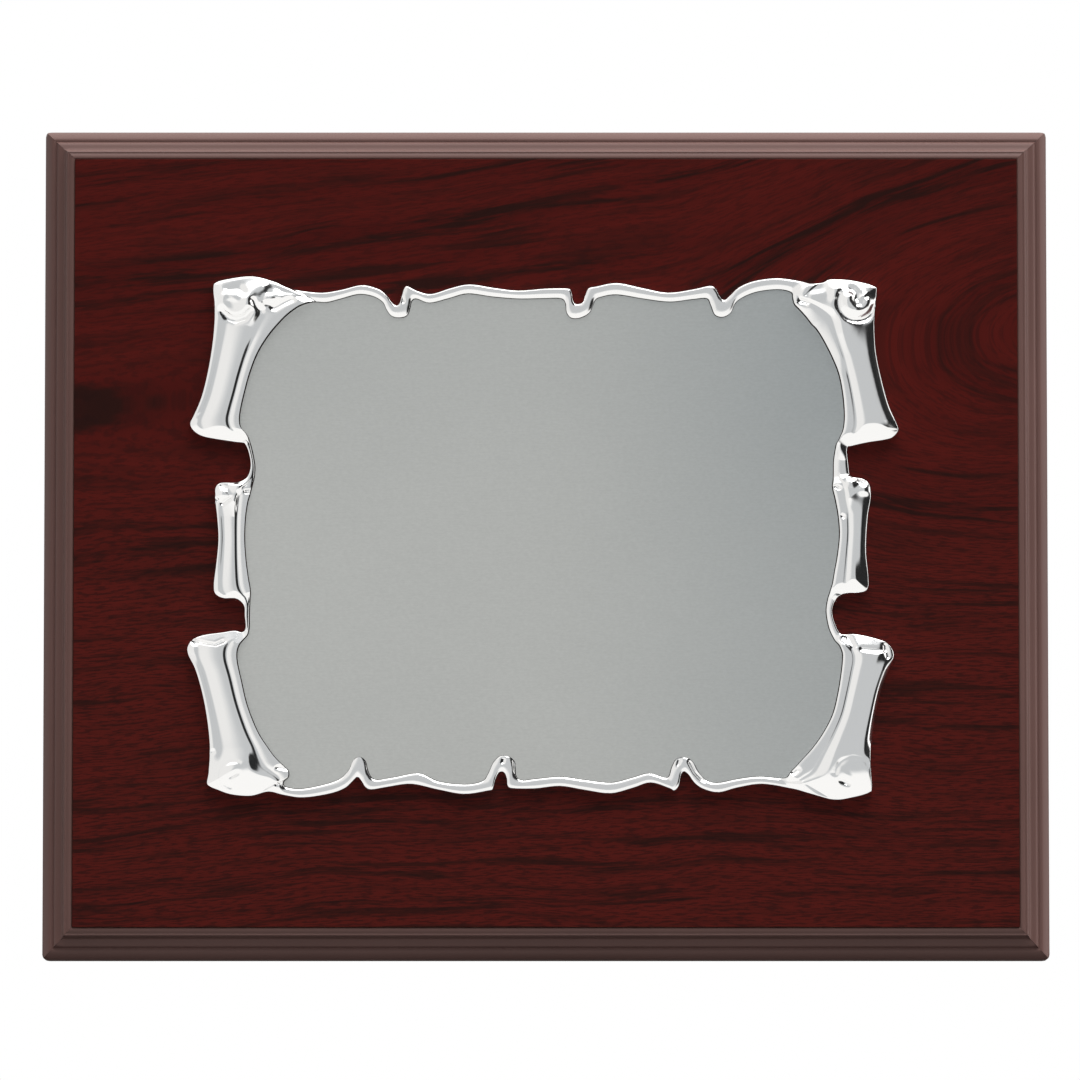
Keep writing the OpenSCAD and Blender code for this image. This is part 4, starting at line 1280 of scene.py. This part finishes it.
studio = Studio("studio")
gaze = studio.node("TexCoord", out="Generated")
right, back, up = [studio.node("SeparateXYZ", {"Vector": gaze}, out=axis) for axis in "XYZ"]
azimuth = right.math("ARCTAN2", right, 0.0 - back) * (180 / math.pi)
elevation = up.math("ARCSINE", up) * (180 / math.pi)


def window(value, low, high, blur):
    """1 between two angles, 0 outside them, with soft sides."""
    return value.step(low - blur, low + blur) * (1.0 - value.step(high - blur, high + blur))


# the room that lights the matt surfaces: a bright ceiling, a lit right side, a dark left one
ceiling = elevation.step(30, 60)
below = 1.0 - elevation.step(-60, -32)
level = 1.0 - ceiling.math("MAXIMUM", ceiling, below)
behind = 1.0 - window(azimuth, -125, 125, 15)
room = 3.9 * ceiling * (1.0 - 0.35 * back.step(0.1, 0.3))
room = room + 0.06 * below * (1.0 - back.step(-0.1, 0.1))
room = room + 0.74 * level * window(azimuth, -18, 55, 15)
room = room + 0.9 * level * window(azimuth, 55, 125, 15)
room = room + 0.5 * level * behind * elevation.step(4, 16) + 0.04
# the walls that polished metal mirrors
walls = 1.0 + 0.75 * elevation.step(38, 62)
front = window(azimuth, -14, 60, 9) * window(elevation, -9, 50, 5)
left_wall = window(azimuth, -85, -12, 8) * window(elevation, -12, 45, 8)
gap = window(azimuth, 25, 79, 6) * window(elevation, -16, 58, 5)
low_back = behind * (1.0 - elevation.step(2, 14))
right_lamp = window(azimuth, 84, 130, 4) * window(elevation, -10, 60, 6)
walls = walls * (1.0 - 0.42 * front) * (1.0 - 0.14 * left_wall) * (1.0 - 0.97 * gap)
walls = (walls + 0.7 * right_lamp) * (1.0 - 0.92 * low_back)
tint = studio.mix(front, (1.0, 0.99, 0.975, 1), (0.965, 0.985, 1.0, 1))
ray = studio.node("LightPath", out="Is Glossy Ray")
seen = studio.node("LightPath", out="Is Camera Ray")
matt = studio.node("Background", {"Color": (1, 1, 1, 1), "Strength": room})
mirrored = studio.node("Background", {"Color": tint, "Strength": walls})
plain = studio.node("Background", {"Color": (1, 1, 1, 1), "Strength": 1.0})
lit = studio.node("MixShader", {0: ray, 1: matt, 2: mirrored})
studio.send(studio.node("MixShader", {0: seen, 1: lit, 2: plain}))
bpy.context.scene.world = studio.world

# %% Floor, lamp and camera
FLOOR_Z = CENTRE.z - 0.34
FLOOR_SIZE = 14.0
floor_mesh = bpy.data.meshes.new("floor")
half = FLOOR_SIZE / 2
corners = [(-half, -half), (half, -half), (half, half), (-half, half)]
floor_mesh.from_pydata([(x, y, FLOOR_Z) for x, y in corners], [], [(0, 1, 2, 3)])
floor = link_object("floor", floor_mesh)
pale = Finish("pale_floor", Roughness=0.9)
pale.shader.inputs["Base Color"].default_value = (0.86, 0.86, 0.86, 1)
floor_mesh.materials.append(pale.material)
floor.visible_diffuse = floor.visible_glossy = False


def aim(thing, place, target):
    thing.location = place
    thing.rotation_mode = "QUATERNION"
    thing.rotation_quaternion = (Vector(target) - Vector(place)).to_track_quat("-Z", "Y")


LAMP_POWER, LAMP_PLACE = 14.0, Vector((0.7, -0.9, 1.9))
lamp = bpy.data.lights.new("soft_box", "AREA")
lamp.shape, lamp.size, lamp.size_y = "RECTANGLE", 1.4, 1.0
lamp.energy = LAMP_POWER
aim(link_object("soft_box", lamp), CENTRE + LAMP_PLACE, CENTRE)

CAMERA_DISTANCE = 2.75
VIEW_WIDTH = 0.311
TILT = math.radians(5)
AIM_OFFSET = Vector((-0.0017, 0, 0.0005))
camera_data = bpy.data.cameras.new("camera")
camera_data.sensor_width = 36.0
camera_data.lens = camera_data.sensor_width * CAMERA_DISTANCE / VIEW_WIDTH
camera_data.clip_end = 60.0
camera = link_object("camera", camera_data)
target = CENTRE + Vector((0, FACE_Y, 0)) + AIM_OFFSET
place = target + CAMERA_DISTANCE * Vector((0, -math.cos(TILT), -math.sin(TILT)))
aim(camera, place, target)
bpy.context.scene.camera = camera
bpy.context.scene.view_settings.view_transform = "Standard"
print("camera, m:", [round(v, 3) for v in place])
